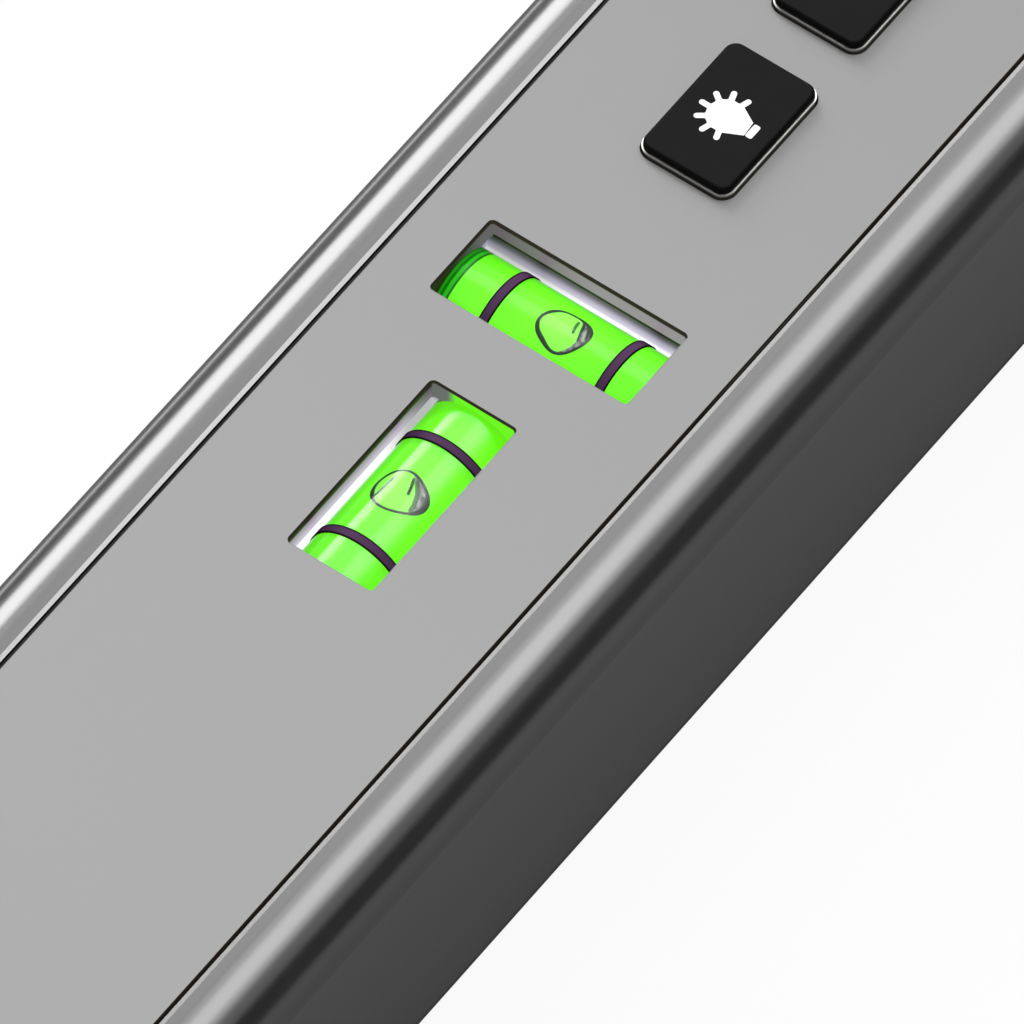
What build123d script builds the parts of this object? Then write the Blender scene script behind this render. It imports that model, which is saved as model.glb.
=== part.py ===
"""Cross line laser level: a hand-held bar, lying on its back with its face up.

X runs along the bar towards the laser end, Y across it, Z up out of the face.
The origin is on the surface it lies on, under the middle of the bar. All sizes are in mm.
"""
from build123d import *
import os

# Battery cells and their bay
cell_radius = 7.25
cell_length = 50.5
cell_nub_radius = 2.75
cell_nub_length = 1.2
cell_edge_radius = 0.8
cell_gap = 0.7
cell_side_clearance = 0.15
cell_headroom = 0.5
contact_thickness = 0.5
contact_height = 9.0
contact_width = 9.0
contact_spring = 4.5
leaf_thickness = 0.4
leaf_width = 4.0
leaf_rise = 3.6
leaf_play = 0.05
tab_width = 3.0
tab_end_clearance = 0.5
tab_slot_clearance = 0.2
tray_wall = 1.0
tray_gap = 1.0

# Body channel
wall = 2.4
floor_thickness = 3.0
shoulder_radius = 5.5
bottom_edge_radius = 0.8
rim_flat = 1.2
rim_bevel_width = 0.41
rim_bevel_drop = 0.08
port_radius = 2.4
port_hole_radius = 1.2
port_sink = 0.3
port_clearance = 0.6
guide_rib = 1.0
guide_depth = 1.4
guide_clearance = 0.2
board_thickness = 1.6

# Face plate and its seal
plate_thickness = 1.35
plate_recess = 0.15
plate_edge_chamfer = 0.08
window_edge_chamfer = 0.2
seam_gap = 0.36
seal_thickness = 0.4
seal_recess = 0.4
ledge_width = 1.4
ledge_thickness = 1.2

# End caps
cap_length = 12.0
cap_end_radius = 3.0
cap_seam_chamfer = 0.3
plug_depth = 3.0
plug_wall = 1.6
plug_clearance = 0.3
screw_shank_radius = 1.15
screw_hole_radius = 1.35
screw_head_radius = 2.1
screw_head_height = 1.6
screw_head_clearance = 0.3
screw_recess = 2.2
screw_bite = 8.0
screw_socket_radius = 1.1
screw_socket_depth = 0.8
socket_sides = 6

# Battery door
door_side_clearance = 0.2
door_recess = 0.25
door_setback = 0.8
tongue_depth = 1.3
tongue_height = 0.6
tongue_clearance = 0.2
grip_count = 5
grip_pitch = 3.0
grip_width = 1.4
grip_length = 16.0
grip_depth = 0.8
grip_offset = 14.0

# Vials
vial_radius = 5.0
vial_wall = 0.6
vial_axis_depth = 6.1
liquid_clearance = 0.03
level_vial_length = 27.8
plumb_vial_margin = 3.19
plumb_vial_shift = -0.7
vial_plug_length = 2.95
ring_spacing = 12.5
ring_width = 1.0
ring_thickness = 0.12
bubble_ball_radius = 3.6
bubble_ball_lift = 1.7
bubble_clearance = 0.15
bubble_travel = 6.5
window_length = 21.5
window_width = 9.4
window_corner = 0.6
window_collar_depth = 0.85
window_collar_wall = 0.6
plumb_window_offset = 0.6
relief_clearance = 0.1

# Vial cradles
trough_radius = 6.0
cradle_side = 0.8
cradle_floor = 1.3
cradle_end = 1.2
cradle_seat = 1.5
cradle_seat_clearance = 0.03
cradle_notch_play = 0.1
cradle_tray_gap = 2.9
cradle_spacing = 0.5

# Vial lamps
lamp_board_thickness = 1.2
lamp_board_width = 8.0
lamp_board_lead = 6.0
lamp_size = 3.0
lamp_height = 1.2
lamp_clearance = 0.2
header_thickness = 2.5
header_width = 7.5

# Keys
key_length = 14.2
key_width = 9.5
key_corner = 1.2
key_proud = 1.2
key_edge_radius = 0.4
key_offset = 19.05
key_pitch = 19.65
trim_height = 0.2
trim_lift = 0.3
trim_width = 0.15
key_clearance = 0.15
flange_lap = 1.1
flange_thickness = 1.2
flange_gap = 0.2
post_radius = 2.0
post_length = 2.8
dome_gap = 0.1
dome_height = 2.9
dome_base_radius = 4.5
dome_top_radius = 2.6
dome_wall = 0.8
mat_thickness = 0.8
mat_width = 16.0
mat_clearance = 0.2

# Circuit board
board_gap = 1.7
board_margin = 0.25
board_edge_clearance = 0.2
chip_size = 7.0
chip_height = 1.2
coil_radius = 3.0
coil_height = 2.8
chip_pitch = 14.0
chip_offset = 14.0
chip_side = 5.0

# Battery leads
lead_radius = 0.65
lead_drop = 1.7
lead_bend_radius = 3.3
lead_run_in = 4.0
lead_landing = 5.5

# Laser head
barrel_radius = 6.0
barrel_pitch = 14.0
barrel_bore_radius = 2.9
barrel_fit = 0.03
barrel_rear = 3.9
barrel_front = 3.1
barrel_end_gap = 0.5
block_gap = 0.4
block_length = 15.7
block_side = 1.5
block_floor = 2.5
block_top = 2.5
rod_radius = 1.95
rod_length = 10.0
rod_fit = 0.05
rod_setback = 3.0
lens_thickness = 2.2
lens_edge = 1.2
lens_fit = 0.1
diode_flange_length = 1.2
diode_can_radius = 2.2
diode_can_length = 2.3
pin_radius = 0.22
pin_circle_radius = 1.27
pin_count = 3
pin_tail = 0.3
pin_hole_clearance = 0.13
driver_gap = 0.5
driver_margin = 0.5
grub_radius = 1.5
grub_fit = 0.05
grub_socket_radius = 0.75
grub_socket_depth = 1.2
block_screw_radius = 1.2
block_screw_clearance = 0.2
block_screw_head_radius = 2.4
block_screw_bite = 3.8
block_screw_inset = 4.0
block_screw_edge = 2.1
countersink_angle = 90
thread_fit = 0.05

# Laser window
pane_width = 30.0
pane_height = 12.0
pane_thickness = 1.7
pane_corner = 2.0
pane_clearance = 0.2
pane_recess = 0.3
pane_ledge = 0.6
gasket_thickness = 0.4
gasket_width = 1.5

# Tripod bush
bush_radius = 5.0
bush_height = 8.7
bush_flange_radius = 7.5
bush_flange_thickness = 1.6
bush_recess = 0.3
bush_fit = 0.03
thread_radius = 2.6
thread_depth = 7.2

# Across the bar: the cells set the tray, the tray the channel, the channel the plate
cell_y = cell_radius + cell_gap / 2
tray_inner_half = cell_y + cell_radius + cell_side_clearance
tray_half = tray_inner_half + tray_wall
port_y = tray_half + port_clearance + port_radius
cavity_half = port_y + port_radius - port_sink
body_half = cavity_half + wall
opening_half = body_half - shoulder_radius - rim_flat
plate_half = opening_half - seam_gap
plumb_vial_length = 2 * (plate_half - plumb_vial_margin)
board_half = cavity_half - board_edge_clearance
tongue_half = tray_inner_half + tongue_depth - tongue_clearance
plug_half = port_y - port_radius - port_clearance

# Up the bar: the cells set the board, the keys stand on the board, the plate goes over them
bay_top = floor_thickness + 2 * cell_radius + cell_headroom
cell_z = floor_thickness + cell_headroom / 2 + cell_radius
board_top = bay_top + board_thickness
key_stack = dome_height + dome_gap + post_length + flange_thickness + flange_gap
plate_bottom = board_top + key_stack
plate_top = plate_bottom + plate_thickness
body_height = plate_top + plate_recess
ledge_top = plate_bottom - seal_thickness
ledge_bottom = ledge_top - ledge_thickness
port_low_z = floor_thickness + port_radius - port_sink
port_high_z = ledge_bottom - port_radius + port_sink
plug_low_z = floor_thickness + plug_clearance
plug_high_z = ledge_bottom - plug_clearance
vial_z = body_height - vial_axis_depth
cradle_top = plate_bottom - vial_z
cradle_depth = trough_radius + cradle_floor
cradle_width = 2 * (trough_radius + cradle_side)
cradle_bottom_z = vial_z - cradle_depth
lamp_board_z = cradle_bottom_z - lamp_board_thickness
barrel_z = floor_thickness + block_floor + barrel_radius
block_top_z = barrel_z + barrel_radius + block_top
tongue_z = floor_thickness / 2
pane_seat = pane_recess + pane_thickness + gasket_thickness
cap_front = pane_seat + pane_ledge

# Along the bar, from the left end: cap, cells, level vial, plumb vial, keys, laser head, cap
tray_length = 2 * (tray_wall + contact_thickness) + cell_length + contact_spring
level_cradle_length = level_vial_length + 2 * cradle_end
barrel_length = barrel_rear + block_length + barrel_front
flange_length = key_length + 2 * (trim_width + key_clearance + flange_lap)
tray_station = cap_length + plug_depth + tray_gap
level_station = tray_station + tray_length + cradle_tray_gap + level_cradle_length / 2
plumb_station = level_station + level_cradle_length / 2 + cradle_spacing + cradle_width / 2
key_station = plumb_station + cradle_width / 2 + key_offset
board_end_station = key_station + 2 * key_pitch + flange_length / 2 + board_margin
block_station = board_end_station + block_gap
barrel_end_station = block_station + block_length + barrel_front
channel_end_station = barrel_end_station + barrel_end_gap
total_length = channel_end_station + cap_length
half_length = total_length / 2

# The same places counted from the middle of the bar
channel_length = total_length - 2 * cap_length
channel_end = channel_length / 2
tray_x = tray_station - half_length
tray_end_x = tray_x + tray_length
level_x = level_station - half_length
plumb_x = plumb_station - half_length
plumb_window_x = plumb_x + plumb_window_offset
key_x = key_station - half_length
board_x = plumb_x + cradle_width / 2 + board_gap
board_end_x = board_end_station - half_length
block_x = block_station - half_length
block_end_x = block_x + block_length
barrel_x = block_x - barrel_rear
barrel_end_x = barrel_end_station - half_length
driver_x = barrel_x - driver_gap - board_thickness
plate_length = channel_length - 2 * seam_gap
pass_length = window_length - 2 * window_edge_chamfer
pass_width = window_width - 2 * window_edge_chamfer
pass_corner = window_corner - window_edge_chamfer
bay_end_x = tray_end_x - tray_wall
door_x = door_setback - half_length
door_end_x = bay_end_x - door_side_clearance
tripod_x = 0.0

contact_low_x = tray_x + tray_wall + contact_thickness
contact_high_x = bay_end_x - contact_thickness
tab_z = cell_z + contact_height / 2 - contact_thickness
tab_end_x = tray_end_x + cradle_tray_gap - tab_end_clearance
lead_z = lamp_board_z - lead_drop
lamp_hole = lamp_size + 2 * lamp_clearance
lamp_board_x = level_x - lamp_board_lead
lamp_board_end_x = board_x + 2 * header_thickness

# Keys and the holes they stand in
trim_length_outside = key_length + 2 * trim_width
trim_width_outside = key_width + 2 * trim_width
key_hole_length = trim_length_outside + 2 * key_clearance
key_hole_width = trim_width_outside + 2 * key_clearance
key_hole_corner = key_corner + trim_width + key_clearance
flange_width = key_hole_width + 2 * flange_lap
flange_bottom = plate_bottom - flange_gap - flange_thickness
KEY_PLACES = {"light": key_x, "line": key_x + key_pitch, "power": key_x + 2 * key_pitch}

# Laser head and its window
block_half = barrel_pitch / 2 + barrel_radius + block_side
block_middle_x = block_x + block_length / 2
screw_cone_height = block_screw_head_radius - block_screw_radius
aperture_width = pane_width - 2 * gasket_width
aperture_height = pane_height - 2 * gasket_width
aperture_corner = pane_corner - gasket_width / 2
lens_radius = barrel_bore_radius - lens_fit
BARREL_AXES = [(0, side * barrel_pitch / 2, barrel_z) for side in (-1, 1)]
DIODE_SEATS = [Plane(origin=(barrel_x, y, z), x_dir=(0, 1, 0), z_dir=(1, 0, 0)) for _, y, z in BARREL_AXES]
GRUB_PLACES = [(block_middle_x, side * barrel_pitch / 2, barrel_z) for side in (-1, 1)]
BLOCK_SCREWS = [
    (x, side * (block_half - block_screw_edge))
    for x in (block_x + block_screw_inset, block_end_x - block_screw_inset)
    for side in (-1, 1)
]

LOW = (Align.CENTER, Align.CENTER, Align.MIN)
HIGH = (Align.CENTER, Align.CENTER, Align.MAX)
FROM_LEFT = (Align.MIN, Align.CENTER, Align.CENTER)
ALONG_X = (0, 90, 0)
ALONG_Y = (90, 0, 0)
UPRIGHT = (0, 0, 0)
PORTS = [(side * port_y, z) for side in (-1, 1) for z in (port_low_z, port_high_z)]

os.makedirs("parts", exist_ok=True)


def keep(piece, node):
    """Name a finished piece and write it to its own file."""
    piece.part.label = node
    export_step(piece.part, f"parts/{node}.step")


# The section of the door slot, shared by the channel's floor and the left cap
with BuildSketch() as door_slot:
    Rectangle(2 * tray_inner_half, 2 * floor_thickness)
    with Locations((0, tongue_z)):
        Rectangle(2 * (tray_inner_half + tongue_depth), tongue_height + 2 * tongue_clearance)

# Body channel: an extrusion with rounded shoulders, plate ledges, card guides and screw ports
with BuildPart() as body_channel:
    with BuildSketch(Plane.YZ) as section:
        Rectangle(2 * body_half, body_height, align=(Align.CENTER, Align.MIN))
        fillet(section.vertices().group_by(Axis.Y)[-1], shoulder_radius)
        fillet(section.vertices().group_by(Axis.Y)[0], bottom_edge_radius)
        with Locations((0, floor_thickness)):
            Rectangle(
                2 * cavity_half,
                ledge_bottom - floor_thickness,
                align=(Align.CENTER, Align.MIN),
                mode=Mode.SUBTRACT,
            )
        with Locations((0, body_height)):
            Rectangle(2 * opening_half, 2 * (body_height - ledge_top), mode=Mode.SUBTRACT)
            Rectangle(2 * (opening_half - ledge_width), 2 * (body_height - ledge_bottom), mode=Mode.SUBTRACT)
        for side in (-1, 1):
            with BuildLine():
                Polyline(
                    (side * opening_half, body_height),
                    (side * (opening_half + rim_bevel_width), body_height),
                    (side * opening_half, body_height - rim_bevel_drop),
                    close=True,
                )
            make_face(mode=Mode.SUBTRACT)
            with Locations(
                (side * (cavity_half - guide_depth / 2), bay_top - guide_rib / 2),
                (side * (cavity_half - guide_depth / 2), board_top + guide_clearance + guide_rib / 2),
            ):
                Rectangle(guide_depth, guide_rib)
        with Locations(*PORTS):
            Circle(port_radius)
            Circle(port_hole_radius, mode=Mode.SUBTRACT)
    extrude(amount=channel_end, both=True)
    with BuildSketch(Plane.YZ.offset(-channel_end)):
        add(door_slot.sketch)
    extrude(amount=bay_end_x + channel_end, mode=Mode.SUBTRACT)
    with Locations((tripod_x, 0, 0)):
        Cylinder(bush_radius, floor_thickness, align=LOW, mode=Mode.SUBTRACT)
    with Locations(*[Plane(origin=(x, y, 0), z_dir=(0, 0, -1)) for x, y in BLOCK_SCREWS]):
        CounterSinkHole(
            block_screw_radius + block_screw_clearance,
            block_screw_head_radius + block_screw_clearance,
            depth=floor_thickness,
            counter_sink_angle=countersink_angle,
        )
keep(body_channel, "body_channel")

# The two windows inside their bevelled edges, and the collars drawn down round them
with BuildSketch() as windows:
    with Locations((level_x, 0)):
        RectangleRounded(pass_length, pass_width, pass_corner)
    with Locations((plumb_window_x, 0)):
        RectangleRounded(pass_width, pass_length, pass_corner)

with BuildSketch() as collars:
    offset(windows.sketch, amount=window_collar_wall)
    add(windows.sketch, mode=Mode.SUBTRACT)

# Face plate: a flat strip with cut-outs for the keys and windows for the vials, hollowed over their ends
with BuildPart() as face_plate:
    with BuildSketch(Plane.XY.offset(plate_bottom)):
        Rectangle(plate_length, 2 * plate_half)
        add(windows.sketch, mode=Mode.SUBTRACT)
        with Locations(*[(x, 0) for x in KEY_PLACES.values()]):
            RectangleRounded(key_hole_length, key_hole_width, key_hole_corner, mode=Mode.SUBTRACT)
    extrude(amount=plate_thickness)
    with BuildSketch(Plane.XY.offset(plate_bottom)):
        add(collars.sketch)
    extrude(amount=-window_collar_depth)
    with Locations((level_x, 0, vial_z)):
        Cylinder(
            vial_radius + relief_clearance,
            level_vial_length + 2 * cradle_notch_play,
            rotation=ALONG_X,
            mode=Mode.SUBTRACT,
        )
    with Locations((plumb_x, plumb_vial_shift, vial_z)):
        Cylinder(
            vial_radius + relief_clearance,
            plumb_vial_length + 2 * cradle_notch_play,
            rotation=ALONG_Y,
            mode=Mode.SUBTRACT,
        )
    chamfer(face_plate.faces().sort_by(Axis.Z)[-1].outer_wire().edges(), plate_edge_chamfer)
    for window in face_plate.faces().sort_by(Axis.Z)[-1].inner_wires().sort_by(Axis.X)[:2]:
        chamfer(window.edges(), window_edge_chamfer)
keep(face_plate, "face_plate")

# Face seal: a rubber frame of L section that the plate beds in
with BuildPart() as face_seal:
    with BuildSketch(Plane.XY.offset(ledge_top)):
        Rectangle(channel_length, 2 * opening_half)
        Rectangle(
            channel_length - 2 * ledge_width,
            2 * (opening_half - ledge_width),
            mode=Mode.SUBTRACT,
        )
    extrude(amount=seal_thickness)
    with BuildSketch(Plane.XY.offset(plate_bottom)):
        Rectangle(channel_length, 2 * opening_half)
        Rectangle(plate_length, 2 * plate_half, mode=Mode.SUBTRACT)
    extrude(amount=plate_thickness - seal_recess)
keep(face_seal, "face_seal")


def end_cap_blank(side):
    """An end cap: rounded outside, hollow plug into the channel, and recessed screw holes."""
    with BuildPart() as blank:
        with BuildSketch(Plane.YZ.offset(side * channel_end)) as section:
            Rectangle(2 * body_half, body_height, align=(Align.CENTER, Align.MIN))
            fillet(section.vertices().group_by(Axis.Y)[-1], shoulder_radius)
        extrude(amount=side * cap_length)
        end_face = blank.faces().sort_by(Axis.X, reverse=side > 0)[0]
        fillet(end_face.edges().sort_by(Axis.Z)[1:], cap_end_radius)
        bottom_face = blank.faces().sort_by(Axis.Z)[0]
        fillet(bottom_face.edges().sort_by(Axis.X, reverse=side < 0)[1:], bottom_edge_radius)
        seam_face = blank.faces().sort_by(Axis.X, reverse=side < 0)[0]
        chamfer(seam_face.edges(), cap_seam_chamfer)
        plug_middle = (plug_low_z + plug_high_z) / 2
        plug_height = plug_high_z - plug_low_z
        with BuildSketch(Plane.YZ.offset(side * channel_end)):
            with Locations((0, plug_middle)):
                Rectangle(2 * plug_half, plug_height)
        extrude(amount=-side * plug_depth)
        with BuildSketch(Plane.YZ.offset(side * (channel_end - plug_depth))):
            with Locations((0, plug_middle)):
                Rectangle(2 * (plug_half - plug_wall), plug_height - 2 * plug_wall)
        extrude(amount=side * (plug_depth + cap_length - cap_front), mode=Mode.SUBTRACT)
        with BuildSketch(Plane.YZ.offset(side * half_length)):
            with Locations(*PORTS):
                Circle(screw_hole_radius)
        extrude(amount=-side * cap_length, mode=Mode.SUBTRACT)
        with BuildSketch(Plane.YZ.offset(side * half_length)):
            with Locations(*PORTS):
                Circle(screw_head_radius + screw_head_clearance)
        extrude(amount=-side * screw_recess, mode=Mode.SUBTRACT)
    return blank.part


# Left end cap: cut through below for the battery door
left_blank = end_cap_blank(-1)
with BuildPart() as left_end_cap:
    add(left_blank)
    with BuildSketch(Plane.YZ.offset(-half_length)):
        add(door_slot.sketch)
    extrude(amount=cap_length, mode=Mode.SUBTRACT)
keep(left_end_cap, "left_end_cap")

# Right end cap: a stepped opening for the laser window
right_blank = end_cap_blank(1)
with BuildPart() as right_end_cap:
    add(right_blank)
    with BuildSketch(Plane.YZ.offset(half_length)):
        with Locations((0, barrel_z)):
            RectangleRounded(
                pane_width + 2 * pane_clearance,
                pane_height + 2 * pane_clearance,
                pane_corner + pane_clearance,
            )
    extrude(amount=-pane_seat, mode=Mode.SUBTRACT)
    with BuildSketch(Plane.YZ.offset(half_length)):
        with Locations((0, barrel_z)):
            RectangleRounded(aperture_width, aperture_height, aperture_corner)
    extrude(amount=-cap_front, mode=Mode.SUBTRACT)
keep(right_end_cap, "right_end_cap")

# Laser window and the gasket behind it
with BuildPart() as window_gasket:
    with BuildSketch(Plane.YZ.offset(half_length - pane_seat)):
        with Locations((0, barrel_z)):
            RectangleRounded(pane_width, pane_height, pane_corner)
            RectangleRounded(aperture_width, aperture_height, aperture_corner, mode=Mode.SUBTRACT)
    extrude(amount=gasket_thickness)
keep(window_gasket, "window_gasket")

with BuildPart() as laser_window:
    with BuildSketch(Plane.YZ.offset(half_length - pane_seat + gasket_thickness)):
        with Locations((0, barrel_z)):
            RectangleRounded(pane_width, pane_height, pane_corner)
    extrude(amount=pane_thickness)
keep(laser_window, "laser_window")


def make_cap_screws(node, side):
    """The screws of one end cap, each with a hexagon socket."""
    with BuildPart() as screws:
        for y, z in PORTS:
            seat = Plane(origin=(side * (half_length - screw_recess), y, z), z_dir=(side, 0, 0))
            with Locations(seat):
                Cylinder(screw_head_radius, screw_head_height, align=LOW)
                Cylinder(screw_shank_radius, cap_length - screw_recess + screw_bite, align=HIGH)
            with BuildSketch(seat.offset(screw_head_height)):
                RegularPolygon(screw_socket_radius, side_count=socket_sides)
            extrude(amount=-screw_socket_depth, mode=Mode.SUBTRACT)
    keep(screws, node)


make_cap_screws("left_cap_screws", -1)
make_cap_screws("right_cap_screws", 1)

# Battery door: a plate that slides out under the left cap on two tongues
with BuildPart() as battery_door:
    with BuildSketch(Plane.YZ.offset(door_x)):
        with Locations((0, floor_thickness / 2)):
            Rectangle(2 * (tray_inner_half - door_side_clearance), floor_thickness - 2 * door_recess)
    extrude(amount=door_end_x - door_x)
    with BuildSketch(Plane.YZ.offset(-channel_end)):
        with Locations((0, tongue_z)):
            Rectangle(2 * tongue_half, tongue_height)
    extrude(amount=door_end_x + channel_end)
    with Locations((door_x + grip_offset, 0, door_recess)):
        with GridLocations(grip_pitch, grip_length, grip_count, 1):
            Box(grip_width, grip_length, 2 * grip_depth, mode=Mode.SUBTRACT)
    outer_edge = battery_door.faces().sort_by(Axis.X)[0].edges().sort_by(Axis.Z)[0]
    fillet(outer_edge, bottom_edge_radius)
keep(battery_door, "battery_door")

# Battery tray: a lid that slides in the card guides, with walls round the cells
with BuildPart() as battery_tray:
    with BuildSketch(Plane.XY.offset(bay_top)):
        with Locations((tray_x + tray_length / 2, 0)):
            Rectangle(tray_length, 2 * board_half)
    extrude(amount=board_thickness)
    with BuildSketch(Plane.XY.offset(floor_thickness)):
        with Locations((tray_x + tray_length / 2, 0)):
            Rectangle(tray_length, 2 * tray_half)
            Rectangle(tray_length - 2 * tray_wall, 2 * tray_inner_half, mode=Mode.SUBTRACT)
    extrude(amount=bay_top - floor_thickness)
    with Locations((bay_end_x + tray_wall / 2, -cell_y, tab_z), (bay_end_x + tray_wall / 2, cell_y, tab_z)):
        Box(
            tray_wall,
            tab_width + 2 * tab_slot_clearance,
            contact_thickness + 2 * tab_slot_clearance,
            mode=Mode.SUBTRACT,
        )
keep(battery_tray, "battery_tray")


def make_cell(node, tip_x, y, inward):
    """One cell, from its nub at tip_x towards the other end of the bay."""
    with BuildPart(Plane(origin=(tip_x, y, cell_z), z_dir=(inward, 0, 0))) as cell:
        with Locations((0, 0, cell_nub_length)):
            Cylinder(cell_radius, cell_length - cell_nub_length, align=LOW)
        fillet(cell.edges().filter_by(GeomType.CIRCLE), cell_edge_radius)
        Cylinder(cell_nub_radius, cell_nub_length, align=LOW)
    keep(cell, node)


make_cell("rear_cell", contact_low_x, cell_y, 1)
make_cell("front_cell", contact_high_x, -cell_y, -1)


def leaf_corners(inward):
    """Corners of a bent spring leaf, fixed to its contact plate at the top and free below."""
    tip = inward * (contact_spring - leaf_play)
    thickness = inward * leaf_thickness
    return [
        (0, leaf_rise),
        (tip, 0),
        (2 * thickness, -leaf_rise),
        (thickness, -leaf_rise),
        (tip - thickness, 0),
        (-inward * contact_thickness / 2, leaf_rise),
    ]


def contact_plane(x, y):
    """The upright plane along the bar through one contact's face, at the height of the cells."""
    return Plane(origin=(x, y, cell_z), x_dir=(1, 0, 0), z_dir=(0, -1, 0))


# Contact bridge: joins the two cells at the left end of the bay
with BuildPart() as contact_bridge:
    with Locations((contact_low_x - contact_thickness / 2, 0, cell_z)):
        Box(contact_thickness, 2 * cell_y + contact_width, contact_height)
    with BuildSketch(contact_plane(contact_low_x, -cell_y)):
        with BuildLine():
            Polyline(*leaf_corners(1), close=True)
        make_face()
    extrude(amount=leaf_width / 2, both=True)
keep(contact_bridge, "contact_bridge")


def make_terminal(node, y, sprung):
    """A contact plate at the right end of the bay, with a tab through the tray's wall."""
    with BuildPart() as terminal:
        with Locations((contact_high_x + contact_thickness / 2, y, cell_z)):
            Box(contact_thickness, contact_width, contact_height)
        with Locations((contact_high_x, y, tab_z)):
            Box(tab_end_x - contact_high_x, tab_width, contact_thickness, align=FROM_LEFT)
        if sprung:
            with BuildSketch(contact_plane(contact_high_x, y)):
                with BuildLine():
                    Polyline(*leaf_corners(-1), close=True)
                make_face()
            extrude(amount=leaf_width / 2, both=True)
    keep(terminal, node)


make_terminal("positive_terminal", -cell_y, sprung=False)
make_terminal("negative_terminal", cell_y, sprung=True)


def make_lead(node, y):
    """An insulated wire from a terminal's tab, under the vials, up to the circuit board."""
    with BuildPart() as lead:
        with BuildLine():
            FilletPolyline(
                (tab_end_x, y, tab_z),
                (tab_end_x + lead_run_in, y, tab_z),
                (tab_end_x + 2 * lead_run_in, y, lead_z),
                (board_x + lead_landing, y, lead_z),
                (board_x + lead_landing, y, bay_top),
                radius=lead_bend_radius,
            )
        with BuildSketch(Plane(origin=(tab_end_x, y, tab_z), z_dir=(1, 0, 0))):
            Circle(lead_radius)
        sweep()
    keep(lead, node)


make_lead("positive_lead", -cell_y)
make_lead("negative_lead", cell_y)


def make_vial(name, x, along, shift, length):
    """A spirit vial and its cradle; the vial lies along a direction, shifted that way in its seat."""
    seat = Plane(origin=(x, 0, vial_z), x_dir=along, z_dir=(0, 0, 1))
    axis = Plane(origin=seat.from_local_coords((shift, 0, 0)), x_dir=along, z_dir=(0, 0, 1))
    cavity_length = length - 2 * cradle_seat
    bore_radius = vial_radius - vial_wall
    liquid_length = length - 2 * vial_plug_length
    bubble_radius = bore_radius - bubble_clearance
    ball_height = bubble_radius + bubble_ball_lift

    with BuildPart(seat) as cradle:
        with Locations((0, 0, -cradle_depth)):
            Box(length + 2 * cradle_end, cradle_width, cradle_depth + cradle_top, align=LOW)
        Cylinder(trough_radius, cavity_length, rotation=ALONG_X, mode=Mode.SUBTRACT)
        Box(cavity_length, 2 * trough_radius, cradle_top, align=LOW, mode=Mode.SUBTRACT)
        with Locations((0, 0, -cradle_depth)):
            Box(lamp_hole, lamp_hole, 2 * cradle_depth, mode=Mode.SUBTRACT)
        with Locations((shift, 0, 0)):
            notch_radius = vial_radius + cradle_seat_clearance
            notch_length = length + 2 * cradle_notch_play
            Cylinder(notch_radius, notch_length, rotation=ALONG_X, mode=Mode.SUBTRACT)
            Box(notch_length, 2 * notch_radius, cradle_top, align=LOW, mode=Mode.SUBTRACT)
    keep(cradle, f"{name}_vial_cradle")

    with BuildPart(axis) as tube:
        Cylinder(vial_radius, length, rotation=ALONG_X)
        Cylinder(bore_radius, length, rotation=ALONG_X, mode=Mode.SUBTRACT)
    keep(tube, f"{name}_vial_tube")

    with BuildPart(axis) as plugs:
        with GridLocations(length - vial_plug_length, length, 2, 1):
            Cylinder(bore_radius - liquid_clearance, vial_plug_length, rotation=ALONG_X)
    keep(plugs, f"{name}_vial_plugs")

    with BuildPart(axis) as rings:
        with GridLocations(ring_spacing, length, 2, 1):
            Cylinder(vial_radius + ring_thickness, ring_width, rotation=ALONG_X)
            Cylinder(vial_radius, ring_width, rotation=ALONG_X, mode=Mode.SUBTRACT)
    keep(rings, f"{name}_vial_rings")

    with BuildPart(axis) as bubble:
        Cylinder(bubble_radius, length, rotation=ALONG_X)
        with Locations((0, 0, ball_height)):
            Sphere(bubble_ball_radius, mode=Mode.INTERSECT)
    keep(bubble, f"{name}_vial_bubble")

    with BuildPart(axis) as liquid:
        Cylinder(bore_radius - liquid_clearance, liquid_length, rotation=ALONG_X)
        with Locations((0, 0, ball_height)):
            groove_radius = bubble_ball_radius + bubble_clearance
            Cylinder(groove_radius, 2 * bubble_travel, rotation=ALONG_X, mode=Mode.SUBTRACT)
            with GridLocations(2 * bubble_travel, length, 2, 1):
                Sphere(groove_radius, mode=Mode.SUBTRACT)
    keep(liquid, f"{name}_vial_liquid")


make_vial("level", level_x, (1, 0, 0), 0, level_vial_length)
make_vial("plumb", plumb_x, (0, 1, 0), plumb_vial_shift, plumb_vial_length)

# Vial lamps: a narrow board under both cradles with a lamp below each vial
with BuildPart() as lamp_board:
    with BuildSketch(Plane.XY.offset(lamp_board_z)):
        with Locations(((lamp_board_x + lamp_board_end_x) / 2, 0)):
            Rectangle(lamp_board_end_x - lamp_board_x, lamp_board_width)
    extrude(amount=lamp_board_thickness)
keep(lamp_board, "lamp_board")

with BuildPart(Plane.XY.offset(cradle_bottom_z)) as vial_lamps:
    with Locations((level_x, 0), (plumb_x, 0)):
        Box(lamp_size, lamp_size, lamp_height, align=LOW)
keep(vial_lamps, "vial_lamps")

with BuildPart(Plane.XY.offset(cradle_bottom_z)) as lamp_header:
    with Locations((board_x + header_thickness, 0)):
        Box(header_thickness, header_width, bay_top - cradle_bottom_z, align=LOW)
keep(lamp_header, "lamp_header")

# Circuit board in the card guides, with its chips and coil underneath
with BuildPart() as main_board:
    with BuildSketch(Plane.XY.offset(bay_top)):
        with Locations(((board_x + board_end_x) / 2, 0)):
            Rectangle(board_end_x - board_x, 2 * board_half)
    extrude(amount=board_thickness)
keep(main_board, "main_board")

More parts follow.
